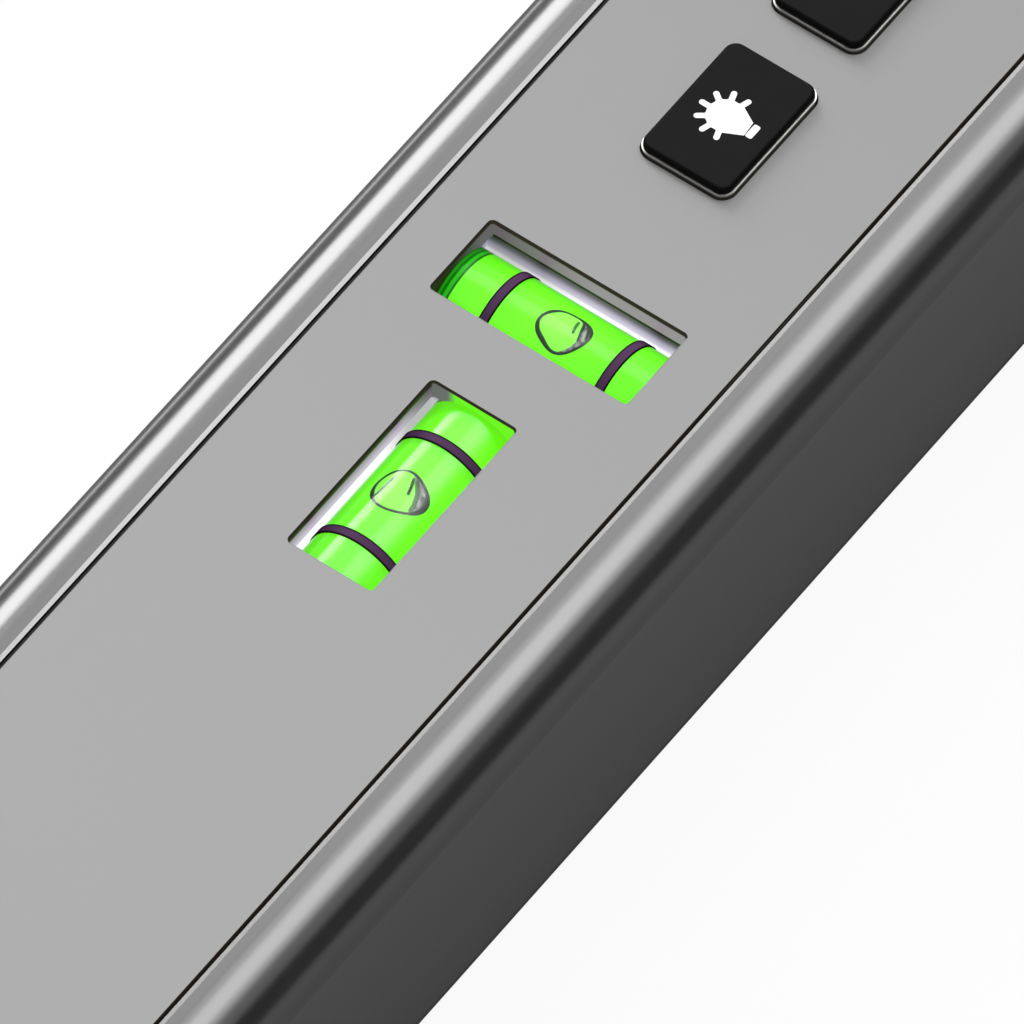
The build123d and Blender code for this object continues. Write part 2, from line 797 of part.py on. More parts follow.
with BuildPart(Plane.XY.offset(bay_top)) as board_chips:
    with Locations((board_x + chip_offset, chip_side), (board_x + chip_offset + chip_pitch, -chip_side)):
        Box(chip_size, chip_size, chip_height, align=HIGH)
    with Locations((board_x + chip_offset + 2 * chip_pitch, chip_side)):
        Cylinder(coil_radius, coil_height, align=HIGH)
keep(board_chips, "board_chips")

# Key mat: the rubber sheet that holds the key domes on the board
with BuildPart() as key_mat:
    with BuildSketch(Plane.XY.offset(board_top)):
        with Locations((key_x + key_pitch, 0)):
            Rectangle(2 * key_pitch + flange_length, mat_width)
        with Locations(*[(x, 0) for x in KEY_PLACES.values()]):
            Circle(dome_base_radius + mat_clearance, mode=Mode.SUBTRACT)
    extrude(amount=mat_thickness)
keep(key_mat, "key_mat")


def make_key(name, x):
    """A key: its cap held under the plate by a flange, a bright trim, and the dome it presses."""
    with BuildPart() as key:
        with BuildSketch(Plane.XY.offset(flange_bottom)):
            with Locations((x, 0)):
                RectangleRounded(key_length, key_width, key_corner)
        extrude(amount=plate_top + key_proud - flange_bottom)
        fillet(key.faces().sort_by(Axis.Z)[-1].edges(), key_edge_radius)
        with BuildSketch(Plane.XY.offset(flange_bottom)):
            with Locations((x, 0)):
                RectangleRounded(flange_length, flange_width, key_hole_corner)
        extrude(amount=flange_thickness)
        with Locations((x, 0, flange_bottom)):
            Cylinder(post_radius, post_length, align=HIGH)
    keep(key, f"{name}_key")

    with BuildPart() as trim:
        with BuildSketch(Plane.XY.offset(plate_top + trim_lift)):
            with Locations((x, 0)):
                RectangleRounded(trim_length_outside, trim_width_outside, key_corner + trim_width)
                RectangleRounded(key_length, key_width, key_corner, mode=Mode.SUBTRACT)
        extrude(amount=trim_height)
    keep(trim, f"{name}_key_trim")

    with BuildPart(Plane(origin=(x, 0, board_top))) as dome:
        Cone(dome_base_radius, dome_top_radius, dome_height, align=LOW)
        Cone(
            dome_base_radius - dome_wall,
            dome_top_radius - dome_wall,
            dome_height - dome_wall,
            align=LOW,
            mode=Mode.SUBTRACT,
        )
    keep(dome, f"{name}_key_dome")


for key_name, place in KEY_PLACES.items():
    make_key(key_name, place)

# Laser block: clamps both laser barrels to the floor of the channel
with BuildPart() as laser_block:
    with BuildSketch(Plane.XY.offset(floor_thickness)):
        with Locations((block_x + block_length / 2, 0)):
            Rectangle(block_length, 2 * block_half)
    extrude(amount=block_top_z - floor_thickness)
    with Locations(*BARREL_AXES):
        Cylinder(barrel_radius + barrel_fit, total_length, rotation=ALONG_X, mode=Mode.SUBTRACT)
    with Locations(*GRUB_PLACES):
        Cylinder(grub_radius, block_top_z - barrel_z, align=LOW, mode=Mode.SUBTRACT)
    with Locations(*[(px, py, floor_thickness) for px, py in BLOCK_SCREWS]):
        Cylinder(block_screw_radius + thread_fit, block_screw_bite, align=LOW, mode=Mode.SUBTRACT)
keep(laser_block, "laser_block")

with BuildPart() as barrel_grub_screws:
    for px, py, _ in GRUB_PLACES:
        with Locations((px, py, block_top_z)):
            Cylinder(grub_radius - grub_fit, block_top - barrel_fit, align=HIGH)
        with BuildSketch(Plane(origin=(px, py, block_top_z))):
            RegularPolygon(grub_socket_radius, side_count=socket_sides)
        extrude(amount=-grub_socket_depth, mode=Mode.SUBTRACT)
keep(barrel_grub_screws, "barrel_grub_screws")

with BuildPart() as block_screws:
    for px, py in BLOCK_SCREWS:
        with Locations((px, py, 0)):
            Cone(block_screw_head_radius, block_screw_radius, screw_cone_height, align=LOW)
            Cylinder(block_screw_radius, floor_thickness + block_screw_bite, align=LOW)
        with BuildSketch(Plane(origin=(px, py, 0), z_dir=(0, 0, -1))):
            RegularPolygon(screw_socket_radius, side_count=socket_sides)
        extrude(amount=-screw_socket_depth, mode=Mode.SUBTRACT)
keep(block_screws, "block_screws")


def make_barrel(name, y, across):
    """A laser barrel and the rod lens across its front; across is the rod's direction."""
    rod_place = (barrel_end_x - rod_setback, y, barrel_z)
    with BuildPart() as barrel:
        with Locations((barrel_x, y, barrel_z)):
            Cylinder(barrel_radius, barrel_length, rotation=ALONG_X, align=LOW)
            Cylinder(barrel_bore_radius, barrel_length, rotation=ALONG_X, align=LOW, mode=Mode.SUBTRACT)
        with Locations(rod_place):
            Cylinder(rod_radius + rod_fit, 2 * barrel_radius, rotation=across, mode=Mode.SUBTRACT)
    keep(barrel, f"{name}_laser_barrel")

    with BuildPart() as rod:
        with Locations(rod_place):
            Cylinder(rod_radius, rod_length, rotation=across)
    keep(rod, f"{name}_line_lens")


make_barrel("horizontal", -barrel_pitch / 2, UPRIGHT)
make_barrel("vertical", barrel_pitch / 2, ALONG_Y)

# Laser diodes at the backs of the barrels, with their pins through the driver board
with BuildPart() as laser_diodes:
    with Locations(*DIODE_SEATS):
        Cylinder(lens_radius, diode_flange_length, align=LOW)
        Cylinder(diode_can_radius, diode_flange_length + diode_can_length, align=LOW)
        with PolarLocations(pin_circle_radius, pin_count):
            Cylinder(pin_radius, barrel_x - driver_x + pin_tail, align=HIGH)
keep(laser_diodes, "laser_diodes")

with BuildPart() as driver_board:
    with BuildSketch(Plane.YZ.offset(driver_x)):
        with Locations((0, (floor_thickness + bay_top) / 2)):
            Rectangle(2 * (block_half - driver_margin), bay_top - floor_thickness)
        with Locations(*[(y, z) for _, y, z in BARREL_AXES]):
            with PolarLocations(pin_circle_radius, pin_count):
                Circle(pin_radius + pin_hole_clearance, mode=Mode.SUBTRACT)
    extrude(amount=board_thickness)
keep(driver_board, "driver_board")

# Collimating lenses: flat towards the diode, domed towards the rod lens
with BuildPart() as collimating_lenses:
    for _, y, z in BARREL_AXES:
        with BuildSketch(Plane(origin=(block_x, y, z), x_dir=(1, 0, 0), z_dir=(0, -1, 0))):
            with BuildLine():
                Polyline((lens_edge, lens_radius), (0, lens_radius), (0, 0), (lens_thickness, 0))
                TangentArc((lens_thickness, 0), (lens_edge, lens_radius), tangent=(0, 1))
            make_face()
        revolve(axis=Axis((block_x, y, z), (1, 0, 0)))
keep(collimating_lenses, "collimating_lenses")

# Tripod bush: a flanged brass nut pressed up through the floor
with BuildPart(Plane(origin=(tripod_x, 0, bush_recess))) as tripod_bush:
    Cylinder(bush_radius - bush_fit, bush_height, align=LOW)
    with Locations((0, 0, floor_thickness - bush_recess)):
        Cylinder(bush_flange_radius, bush_flange_thickness, align=LOW)
    Cylinder(thread_radius, thread_depth, align=LOW, mode=Mode.SUBTRACT)
keep(tripod_bush, "tripod_bush")
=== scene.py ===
# %% [markdown]
# # A cross line laser level
# The tool is a hand-held aluminium bar. Two green spirit vials sit under windows in its grey face
# plate, with a row of press keys beside them. The solids were made as CAD and are loaded here as a
# fixed frame: nothing in this lesson moves them. Each step gives one piece its finish, or builds a
# piece that a plain solid can't show, such as the liquid in a vial or the print on a key.

# %% Load the frame
import math

import bmesh
import bpy
from mathutils import Matrix, Vector


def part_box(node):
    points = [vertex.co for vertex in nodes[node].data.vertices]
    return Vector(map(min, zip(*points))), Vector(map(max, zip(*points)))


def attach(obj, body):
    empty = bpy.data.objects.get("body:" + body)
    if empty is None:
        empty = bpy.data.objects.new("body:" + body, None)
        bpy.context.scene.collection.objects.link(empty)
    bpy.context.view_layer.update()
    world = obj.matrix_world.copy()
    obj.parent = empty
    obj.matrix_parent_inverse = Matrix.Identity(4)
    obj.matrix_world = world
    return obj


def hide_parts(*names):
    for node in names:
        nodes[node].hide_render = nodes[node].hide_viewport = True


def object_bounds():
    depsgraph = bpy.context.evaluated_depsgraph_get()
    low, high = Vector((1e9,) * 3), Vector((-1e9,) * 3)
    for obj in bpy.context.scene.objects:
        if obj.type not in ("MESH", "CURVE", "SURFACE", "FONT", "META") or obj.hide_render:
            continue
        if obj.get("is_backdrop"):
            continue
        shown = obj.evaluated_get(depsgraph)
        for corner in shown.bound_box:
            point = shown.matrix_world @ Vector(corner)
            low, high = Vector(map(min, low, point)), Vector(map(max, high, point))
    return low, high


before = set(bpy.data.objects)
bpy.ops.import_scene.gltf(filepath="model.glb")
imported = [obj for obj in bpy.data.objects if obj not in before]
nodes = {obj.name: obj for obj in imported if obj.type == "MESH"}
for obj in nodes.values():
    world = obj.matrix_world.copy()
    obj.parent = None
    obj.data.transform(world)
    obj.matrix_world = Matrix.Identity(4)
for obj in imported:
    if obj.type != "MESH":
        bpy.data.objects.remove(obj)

MM = 0.001
cad_low, cad_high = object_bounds()
print("CAD box in mm:", [round(side / MM, 2) for side in cad_high - cad_low])


def middle(node):
    """The middle of a CAD node's box."""
    low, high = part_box(node)
    return (low + high) / 2


# %% [markdown]
# ## The camera
# The photograph was taken with a long lens, so parallel edges stay almost parallel. Three things
# fix the view: its two angles, the lens with its distance, and one point of the object whose pixel
# is known. That point is the face plate's top over the middle of the level vial. Moving the camera
# sideways until the point falls on its pixel keeps the lens shift at zero, which suits other views.

# %% Camera
FRAME_PIXELS = 1024
SENSOR_MM = 36.0
LENS_MM = 885.9
DISTANCE = 2.184
AZIMUTH = math.radians(-53.75)
ELEVATION = math.radians(54.55)
VIAL_PIXEL = (402.2, 485.2)

plate_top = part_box("face_plate")[1].z
target = Vector((middle("level_vial_tube").x, 0, plate_top))
back = Vector(
    (
        math.sin(AZIMUTH) * math.cos(ELEVATION),
        -math.cos(AZIMUTH) * math.cos(ELEVATION),
        math.sin(ELEVATION),
    )
)
right = Vector((math.cos(AZIMUTH), math.sin(AZIMUTH), 0))
up = back.cross(right)
pixel = DISTANCE * SENSOR_MM / LENS_MM / FRAME_PIXELS
aside = (FRAME_PIXELS / 2 - VIAL_PIXEL[0]) * pixel
above = (FRAME_PIXELS / 2 - VIAL_PIXEL[1]) * pixel

camera_data = bpy.data.cameras.new("photo_camera")
camera_data.lens = LENS_MM
camera_data.sensor_width = SENSOR_MM
camera_data.clip_end = 2 * DISTANCE
camera = bpy.data.objects.new("photo_camera", camera_data)
camera.location = target + back * DISTANCE + right * aside - up * above
camera.rotation_mode = "QUATERNION"
camera.rotation_quaternion = (-back).to_track_quat("-Z", "Y")
scene = bpy.context.scene
scene.collection.objects.link(camera)
scene.camera = camera
scene.view_settings.view_transform = "Standard"
print("camera at", [round(c, 3) for c in camera.location], "m")
print("one pixel is", round(pixel / MM, 3), "mm")

# %% [markdown]
# ## Soft boxes
# A polished shoulder is a mirror bent round a corner: it draws each lamp as a bright line along
# the bar. The lines in the photograph say where the lamps hung. An area lamp's radiance is its
# power over pi times its area, so each lamp is written by the radiance that the metal shows, and
# its power follows. The near lamp fades at its edges, so it is three boxes, one inside the other.

# %% Soft boxes
LAMP_DISTANCE = 1.2
LAMP_LENGTH = 0.5
LEAN = 0.4677


def soft_box(name, tilt, width, radiance):
    """An area lamp that leans towards the laser end; tilt is its angle from upright, towards -Y."""
    tilt = math.radians(tilt)
    rise = math.sqrt(1 - LEAN**2)
    outward = Vector((LEAN, -rise * math.sin(tilt), rise * math.cos(tilt)))
    along = (Vector((1, 0, 0)) - outward * outward.x).normalized()
    lamp = bpy.data.lights.new(name, "AREA")
    lamp.shape = "RECTANGLE"
    lamp.size = LAMP_LENGTH
    lamp.size_y = width
    lamp.energy = radiance * math.pi * LAMP_LENGTH * width
    box = bpy.data.objects.new(name, lamp)
    axes = Matrix((along, outward.cross(along), outward)).transposed()
    box.matrix_world = Matrix.Translation(outward * LAMP_DISTANCE) @ axes.to_4x4()
    box.visible_camera = False
    scene.collection.objects.link(box)
    print(name, "power", round(lamp.energy, 2), "W")


soft_box("near_box_wide", tilt=5, width=1.10, radiance=1.1)
soft_box("near_box", tilt=11.5, width=0.87, radiance=1.6)
soft_box("near_box_core", tilt=9.5, width=0.53, radiance=3.2)
soft_box("top_box", tilt=-28, width=0.48, radiance=1.9)
soft_box("far_box", tilt=-60, width=0.60, radiance=10.0)

# %% [markdown]
# ## A short way to write a finish
# Every finish is a node tree around one Principled shader. One function adds a node to a tree: it
# links what is a socket and sets what is a number. A small class built on it keeps the trees short.
# All patterns read Object coordinates, in metres, so a grain of a tenth of a millimetre has a scale
# of some thousands.


# %% Nodes
def plug(tree, socket, value):
    """Link a socket to another node's output, or set it to a plain value."""
    if isinstance(value, bpy.types.NodeSocket):
        tree.links.new(value, socket)
    else:
        socket.default_value = value


def add_node(tree, kind, inputs=None, **settings):
    """Add a node to a tree; its inputs are given by their identifiers."""
    made = tree.nodes.new(kind)
    for name, value in settings.items():
        setattr(made, name, value)
    sockets = {socket.identifier: socket for socket in made.inputs}
    for name, value in (inputs or {}).items():
        plug(tree, sockets[name], value)
    return made


def swap_shader(tree, share, other):
    """Let another shader take over from the Principled one, where the share is 1."""
    own = tree.nodes["Principled BSDF"].outputs[0]
    inputs = {"Fac": share, "Shader": own, "Shader_001": other.outputs[0]}
    mixed = add_node(tree, "ShaderNodeMixShader", inputs)
    tree.links.new(mixed.outputs[0], tree.nodes["Material Output"].inputs["Surface"])


# %% Finish
NOISE_SPAN = (0.2, 0.8)


class Finish:
    """A material being built: its node tree and its Principled shader."""

    def __init__(self, name, **shader):
        self.material = bpy.data.materials.new(name)
        self.material.use_nodes = True
        self.tree = self.material.node_tree
        self.shader = self.tree.nodes["Principled BSDF"]
        self.place = self.add("ShaderNodeTexCoord").outputs["Object"]
        self.set(**shader)

    def set(self, **shader):
        """Set or link the shader's own sockets."""
        for name, value in shader.items():
            plug(self.tree, self.shader.inputs[name.replace("_", " ")], value)

    def add(self, kind, inputs=None, **settings):
        """Add a node to the finish."""
        return add_node(self.tree, kind, inputs, **settings)

    def maths(self, operation, first, second=0.0):
        """One sum of two values."""
        node = self.add("ShaderNodeMath", {"Value": first, "Value_001": second}, operation=operation)
        return node.outputs[0]

    def both(self, first, second):
        """The share that two shares have in common."""
        return self.maths("MULTIPLY", first, second)

    def gap(self, value, place):
        """How far a value is from a place, on either side."""
        return self.maths("ABSOLUTE", self.maths("SUBTRACT", value, place))

    def axis(self, name):
        """One Object coordinate, in metres."""
        return self.add("ShaderNodeSeparateXYZ", {"Vector": self.place}).outputs[name]

    def turned(self):
        """The parts of the direction in which the surface faces."""
        facing = self.add("ShaderNodeNewGeometry").outputs["Normal"]
        return self.add("ShaderNodeSeparateXYZ", {"Vector": facing}).outputs

    def noise(self, size, stretch=(1, 1, 1), detail=2.0):
        """Cloudy noise with features of about that size, longer along a stretched axis."""
        scale = tuple(1 / (size * s) for s in stretch)
        mapped = self.add("ShaderNodeMapping", {"Vector": self.place, "Scale": scale})
        inputs = {"Vector": mapped.outputs[0], "Scale": 1.0, "Detail": detail}
        return self.add("ShaderNodeTexNoise", inputs).outputs["Fac"]

    def ramp(self, value, start, end, low=0.0, high=1.0):
        """A value that goes smoothly from low to high as another goes from start to end."""
        inputs = {"Value": value, "From Min": start, "From Max": end, "To Min": low, "To Max": high}
        node = self.add("ShaderNodeMapRange", inputs, interpolation_type="SMOOTHSTEP")
        return node.outputs["Result"]

    def mix(self, share, first, second):
        """A colour between two colours."""
        colours = [(*c, 1) if isinstance(c, tuple) else c for c in (first, second)]
        inputs = {"Factor_Float": share, "A_Color": colours[0], "B_Color": colours[1]}
        node = self.add("ShaderNodeMix", inputs, data_type="RGBA")
        return next(s for s in node.outputs if s.identifier == "Result_Color")

    def rough(self, noise, least, most):
        """Let the roughness follow a noise between two values."""
        self.set(Roughness=self.ramp(noise, *NOISE_SPAN, least, most))

    def bump(self, height, depth):
        """Fine relief: a height from 0 to 1 becomes a depth in metres."""
        inputs = {"Height": height, "Strength": 1.0, "Distance": depth}
        self.set(Normal=self.add("ShaderNodeBump", inputs).outputs[0])


def grey(level):
    """A neutral colour."""
    return (level, level, level)


def shade(colour, share):
    """A colour made darker or paler."""
    return tuple(share * c for c in colour)


BLACK = grey(0.0)


def wear(finish, *names):
    """Give the finish to CAD nodes, in place of the plain colour they came with."""
    for name in names:
        nodes[name].data.materials.clear()
        nodes[name].data.materials.append(finish.material)
    print(finish.material.name, "on", ", ".join(names))


# %% [markdown]
# ## Studio: the room, the floor and the cards
# The room is plain white where the camera, a reflection or a refraction looks at it, and dimmer as
# a light source, so that it fills the shadows without washing them out. The floor does the same
# for most of its tone, and the rest is plain paint that keeps the bar's shadow. Photographers shape
# metal with cards, which only reflections see here: a dark card stands on the near side and draws
# the dark band in the near shoulder, with plain paper before it. On the far side a bright strip
# lies between grey paper and a low grey card, and draws the thin second line in the far shoulder.

# %% Room
ROOM_FILL = 0.4


def looked_at(tree):
    """A value of 1 where the camera, a reflection or a refraction looks, and 0 for other light."""
    seen = add_node(tree, "ShaderNodeLightPath").outputs
    direct = seen["Is Camera Ray"]
    for kind in ("Is Glossy Ray", "Is Transmission Ray"):
        inputs = {"Value": direct, "Value_001": seen[kind]}
        direct = add_node(tree, "ShaderNodeMath", inputs, operation="MAXIMUM").outputs[0]
    return direct


world = bpy.data.worlds.new("studio")
world.use_nodes = True
world.cycles.sampling_method = "NONE"
scene.world = world
room = world.node_tree
fill = add_node(room, "ShaderNodeMapRange", {"Value": looked_at(room), "To Min": ROOM_FILL})
backdrop = room.nodes["Background"].inputs
plug(room, backdrop["Color"], (1, 1, 1, 1))
plug(room, backdrop["Strength"], fill.outputs["Result"])
print("room lit at", ROOM_FILL, "of white")


# %% Sheets of the set
def stage_sheet(name, corners, tone, glow=0.0):
    """A flat sheet of the set, which isn't part of the object."""
    mesh = bpy.data.meshes.new(name)
    mesh.from_pydata(corners, [], [range(len(corners))])
    sheet = bpy.data.objects.new(name, mesh)
    paint = Finish(name, Base_Color=(*grey(tone), 1), Roughness=1, Specular_IOR_Level=0)
    paint.set(Emission_Color=(1, 1, 1, 1), Emission_Strength=glow)
    mesh.materials.append(paint.material)
    scene.collection.objects.link(sheet)
    sheet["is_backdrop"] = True
    return sheet


def flat(x, y, height):
    """Corners of a level sheet between two X and two Y places."""
    return [(x[0], y[0], height), (x[1], y[0], height), (x[1], y[1], height), (x[0], y[1], height)]


def only_reflected(sheet):
    """Leave a card in reflections alone."""
    sheet.visible_camera = False
    sheet.visible_diffuse = False
    sheet.visible_transmission = False
    sheet.visible_shadow = False


# %% Floor
FLOOR_SIDE = 6.0
FLOOR_TONE = 0.95
FLOOR_WHITE = 0.9

floor_reach = (-FLOOR_SIDE / 2, FLOOR_SIDE / 2)
floor = stage_sheet("floor", flat(floor_reach, floor_reach, 0), FLOOR_TONE)
paint = floor.data.materials[0].node_tree
share = add_node(paint, "ShaderNodeMapRange", {"Value": looked_at(paint), "To Max": FLOOR_WHITE})
swap_shader(paint, share.outputs["Result"], add_node(paint, "ShaderNodeEmission"))
print("floor is", FLOOR_SIDE, "m wide")

# %% Cards
ALL_ALONG = (-1, 1)
CARD_REACH = (-0.22, 0.78)
NEAR_Y, NEAR_HEIGHT = -0.52, 0.36
FAR_Y, FAR_HEIGHT = 0.6, 0.15
PAPER_LIFT = 0.5 * MM
STRIP_Y = (0.078, 0.108)


def upright(x, y, height):
    """Corners of a standing card across two X places."""
    return [(x[0], y, 0), (x[1], y, 0), (x[1], y, height), (x[0], y, height)]


cards = (
    stage_sheet("dark_card", upright(CARD_REACH, NEAR_Y, NEAR_HEIGHT), tone=0.17),
    stage_sheet("paper", flat(ALL_ALONG, (NEAR_Y, cad_low.y), PAPER_LIFT), tone=0.73),
    stage_sheet("grey_card", upright(ALL_ALONG, FAR_Y, FAR_HEIGHT), tone=0.6),
    stage_sheet("grey_paper", flat(ALL_ALONG, (cad_high.y, STRIP_Y[0]), PAPER_LIFT), tone=0.35),
    stage_sheet("far_paper", flat(ALL_ALONG, (STRIP_Y[1], FAR_Y), PAPER_LIFT), tone=0.35),
    stage_sheet("bright_strip", flat(ALL_ALONG, STRIP_Y, PAPER_LIFT), tone=0.95, glow=4.0),
)
for card in cards:
    only_reflected(card)
print("cards:", ", ".join(card.name for card in cards))

# %% [markdown]
# ## The body channel
# The body is one aluminium extrusion, blasted and then dyed dark grey in the anodising bath. The
# die leaves faint lines along its length, so the roughness varies in streaks that are long in X.
# The edge of the opening is bevelled after dyeing, which leaves a thin line of paler metal beside
# the black seam. It is found by place: it lies within the seal's edge plus the bevel's width. On
# the far side the cut is paler still, a painted highlight. A thin line along the foot of each side
# is painted darker, a painted shade where the bar stands on the floor.

# %% Body channel
BEVEL_WIDTH = 0.41 * MM
BEVEL_DROP = 0.09 * MM
BEVEL_CUT_AND_FAR_HIGHLIGHT = (grey(0.097), grey(0.125))
DYE = (grey(0.083), grey(0.097))
FOOT_LINE = (1.1 * MM, 1.35 * MM)
FOOT_SHADE = 0.5
SIDE_SKIN = 0.3 * MM
seal_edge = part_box("face_seal")[1].y
body_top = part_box("body_channel")[1].z


def anodised_channel():
    """Dark satin anodising with die lines, a paler bevel whose far side has a painted highlight, and
    painted shade at the foot.
    """
    finish = Finish("anodised_channel", Metallic=1.0, Specular_Tint=(0.75, 0.75, 0.75, 1))
    streaks = finish.noise(0.5 * MM, stretch=(60, 1, 1), detail=3)
    grain = finish.noise(0.12 * MM)
    dye = finish.mix(streaks, *DYE)
    across = finish.maths("ABSOLUTE", finish.axis("Y"))
    outside = finish.maths("GREATER_THAN", across, cad_high.y - SIDE_SKIN)
    # Painted shade: the foot of each side is darker where the bar stands on the floor.
    foot_shade = finish.ramp(finish.axis("Z"), *FOOT_LINE, FOOT_SHADE, 0.0)
    dye = finish.mix(finish.both(outside, foot_shade), dye, BLACK)
    beside = finish.maths("LESS_THAN", across, seal_edge + BEVEL_WIDTH)
    high = finish.maths("GREATER_THAN", finish.axis("Z"), body_top - BEVEL_DROP)
    # The far bevel's paler tone is a painted highlight.
    cut = finish.mix(finish.maths("GREATER_THAN", finish.axis("Y"), 0.0), *BEVEL_CUT_AND_FAR_HIGHLIGHT)
    finish.set(Base_Color=finish.mix(finish.both(beside, high), dye, cut))
    finish.rough(streaks, 0.21, 0.26)
    finish.bump(grain, 0.002 * MM)
    return finish


wear(anodised_channel(), "body_channel")

# %% [markdown]
# ## The face plate and its seal
# The plate is a lighter strip with a satin, almost chalky finish: it takes its tone from all the
# light in the room, not from one lamp. Its grain is much finer than a millimetre, and a painted
# shade makes it a little darker towards the laser end. The far walls of the windows and their
# broken edges, which face -X or -Y, are painted dark, a painted shade for the black inside of the
# bar that they face.
# Lower down they catch light that the white cradles and the liquid throw up. A path tracer finds
# little of it in so narrow a gap, so a glow stands in for it: lilac on the long wall of the level
# window, grey on that of the plumb window, and green on the end wall close to the level's liquid.
# A rubber seal fills the gap beside the plate as a black line. Along the edge that stands on the
# work it is wiped dull, so there the line is blacker.

# %% Light on the window walls
EDGE_GLOW = (0.012, 0.008, 0.005)
LILACS = ((0.33, 0.25, 0.33), (0.56, 0.50, 0.64))
PLUMB_WALL_GLOW = (0.30, 0.265, 0.295)
PLUMB_END_GLOW = grey(0.11)
LEVEL_END_GLOW = ((0.15, 0.88, 0.015), grey(0.13))
WALL_RISE = 0.3
FACE_TURN = -0.3
WALL_FACING = (-0.35, -0.8)
level_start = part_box("level_vial_tube")[0].x
plumb_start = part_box("plumb_vial_cradle")[0].x
keys_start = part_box("light_key")[0].x
print("windows between X", [round(x / MM, 1) for x in (level_start, plumb_start, keys_start)], "mm")


def between(finish, start, end):
    """A value of 1 where X lies between two places, and 0 elsewhere."""
    past = finish.maths("GREATER_THAN", finish.axis("X"), start)
    return finish.both(past, finish.maths("LESS_THAN", finish.axis("X"), end))


def window_glow(finish, turned, shade_faces, depth):
    """The light that the vials throw on the window walls, told apart by where each wall faces."""
    wall = finish.maths("LESS_THAN", turned["Z"], WALL_RISE)
    to_left = finish.both(wall, finish.ramp(turned["X"], *WALL_FACING))
    to_front = finish.both(wall, finish.ramp(turned["Y"], *WALL_FACING))
    level = between(finish, level_start, plumb_start)
    plumb = between(finish, plumb_start, keys_start)
    lilac = finish.mix(finish.ramp(depth, 0.6 * MM, 2.1 * MM), *LILACS)
    green = finish.mix(finish.ramp(finish.axis("Y"), 1.8 * MM, 3.0 * MM), *LEVEL_END_GLOW)
    colours = (lilac, PLUMB_WALL_GLOW, green, PLUMB_END_GLOW)
    near_end = finish.ramp(finish.axis("X"), -13 * MM, -8 * MM, 1.0, 0.3)
    near_side = finish.ramp(finish.axis("Y"), -2 * MM, 10 * MM, 1.0, 0.42)
    far_end = finish.ramp(finish.axis("X"), 3 * MM, 9 * MM)
    below_edge = finish.ramp(depth, 0.25 * MM, 0.45 * MM)
    below_lip = finish.ramp(depth, 0.5 * MM, 0.75 * MM)
    above_foot = finish.ramp(depth, 1.95 * MM, 1.75 * MM)
    shares = (
        (to_front, level, below_lip, near_end),
        (to_left, plumb, below_edge, above_foot, near_side),
        (to_left, level),
        (to_front, plumb, below_edge, far_end),
    )
    glow = finish.mix(shade_faces, BLACK, EDGE_GLOW)
    for colour, parts in zip(colours, shares):
        share = parts[0]
        for part in parts[1:]:
            share = finish.both(share, part)
        glow = finish.mix(share, glow, colour)
    return glow


# %% Face plate and seal
SATIN = 0.281
SATIN_SHADE = 0.24
WALL_SHADE_TONE = (0.022, 0.020, 0.015)
SEAL_SHINE = (0.08, 0.55)


def satin_plate():
    """Light grey satin with a fine grain, painted shade on far walls and the laser end, painted
    glow.
    """
    finish = Finish("satin_plate", Emission_Strength=1.0)
    grain = finish.noise(0.16 * MM, detail=3)
    cloud = finish.noise(14 * MM)
    tone = finish.mix(grain, grey(SATIN * 0.95), grey(SATIN * 1.05))
    tone = finish.mix(finish.maths("MULTIPLY", cloud, 0.1), tone, grey(SATIN * 0.9))
    # Painted shade: the plate darkens towards the laser end.
    shaded = finish.ramp(finish.axis("X"), cad_low.x, cad_high.x, 0.0, SATIN_SHADE)
    tone = finish.mix(shaded, tone, BLACK)
    turned = finish.turned()
    depth = finish.maths("SUBTRACT", plate_top, finish.axis("Z"))
    # Painted shade: faces turned towards -X or -Y, the far window walls and broken edges, are dark.
    shade_faces = finish.maths("LESS_THAN", finish.maths("MINIMUM", turned["X"], turned["Y"]), FACE_TURN)
    finish.set(Base_Color=finish.mix(shade_faces, tone, WALL_SHADE_TONE))
    finish.set(Emission_Color=window_glow(finish, turned, shade_faces, depth))
    finish.set(Metallic=finish.ramp(shade_faces, 0, 1, 0.15, 1.0))
    finish.rough(grain, 0.42, 0.52)
    finish.bump(grain, 0.003 * MM)
    return finish


def rubber(name, colour):
    """Soft matt rubber with a faint bloom."""
    finish = Finish(name)
    bloom = finish.noise(1.5 * MM, detail=4)
    pores = finish.noise(0.1 * MM)
    finish.set(Base_Color=finish.mix(bloom, shade(colour, 0.8), shade(colour, 1.2)))
    finish.rough(bloom, 0.65, 0.8)
    finish.bump(pores, 0.004 * MM)
    return finish


def seal_rubber():
    """Black rubber, wiped dull along the edge that stands on the work."""
    finish = rubber("seal_rubber", grey(0.010))
    finish.set(Specular_IOR_Level=finish.ramp(finish.axis("Y"), -1 * MM, 1 * MM, *SEAL_SHINE))
    return finish


wear(satin_plate(), "face_plate")
wear(seal_rubber(), "face_seal", "window_gasket")

# %% [markdown]
# ## Moulded plastics
# The end caps and the battery door come out of a spark-eroded mould, which prints a fine pebbled
# texture on them. The tray and the small header inside are plainer black mouldings. One function
# makes them all, with the colour and the size of the pebbles as its inputs.


# %% End caps, door and tray
def moulded(name, colour, pebble, depth, roughness):
    """Plastic with the pebbled texture of its mould."""
    finish = Finish(name)
    inputs = {"Vector": finish.place, "Scale": 1 / pebble}
    pebbles = finish.add("ShaderNodeTexVoronoi", inputs, feature="SMOOTH_F1").outputs["Distance"]
    cloud = finish.noise(6 * MM, detail=4)
    finish.set(Base_Color=finish.mix(cloud, shade(colour, 0.88), shade(colour, 1.12)))
    finish.rough(cloud, roughness - 0.04, roughness + 0.04)
    finish.bump(pebbles, depth)
    return finish


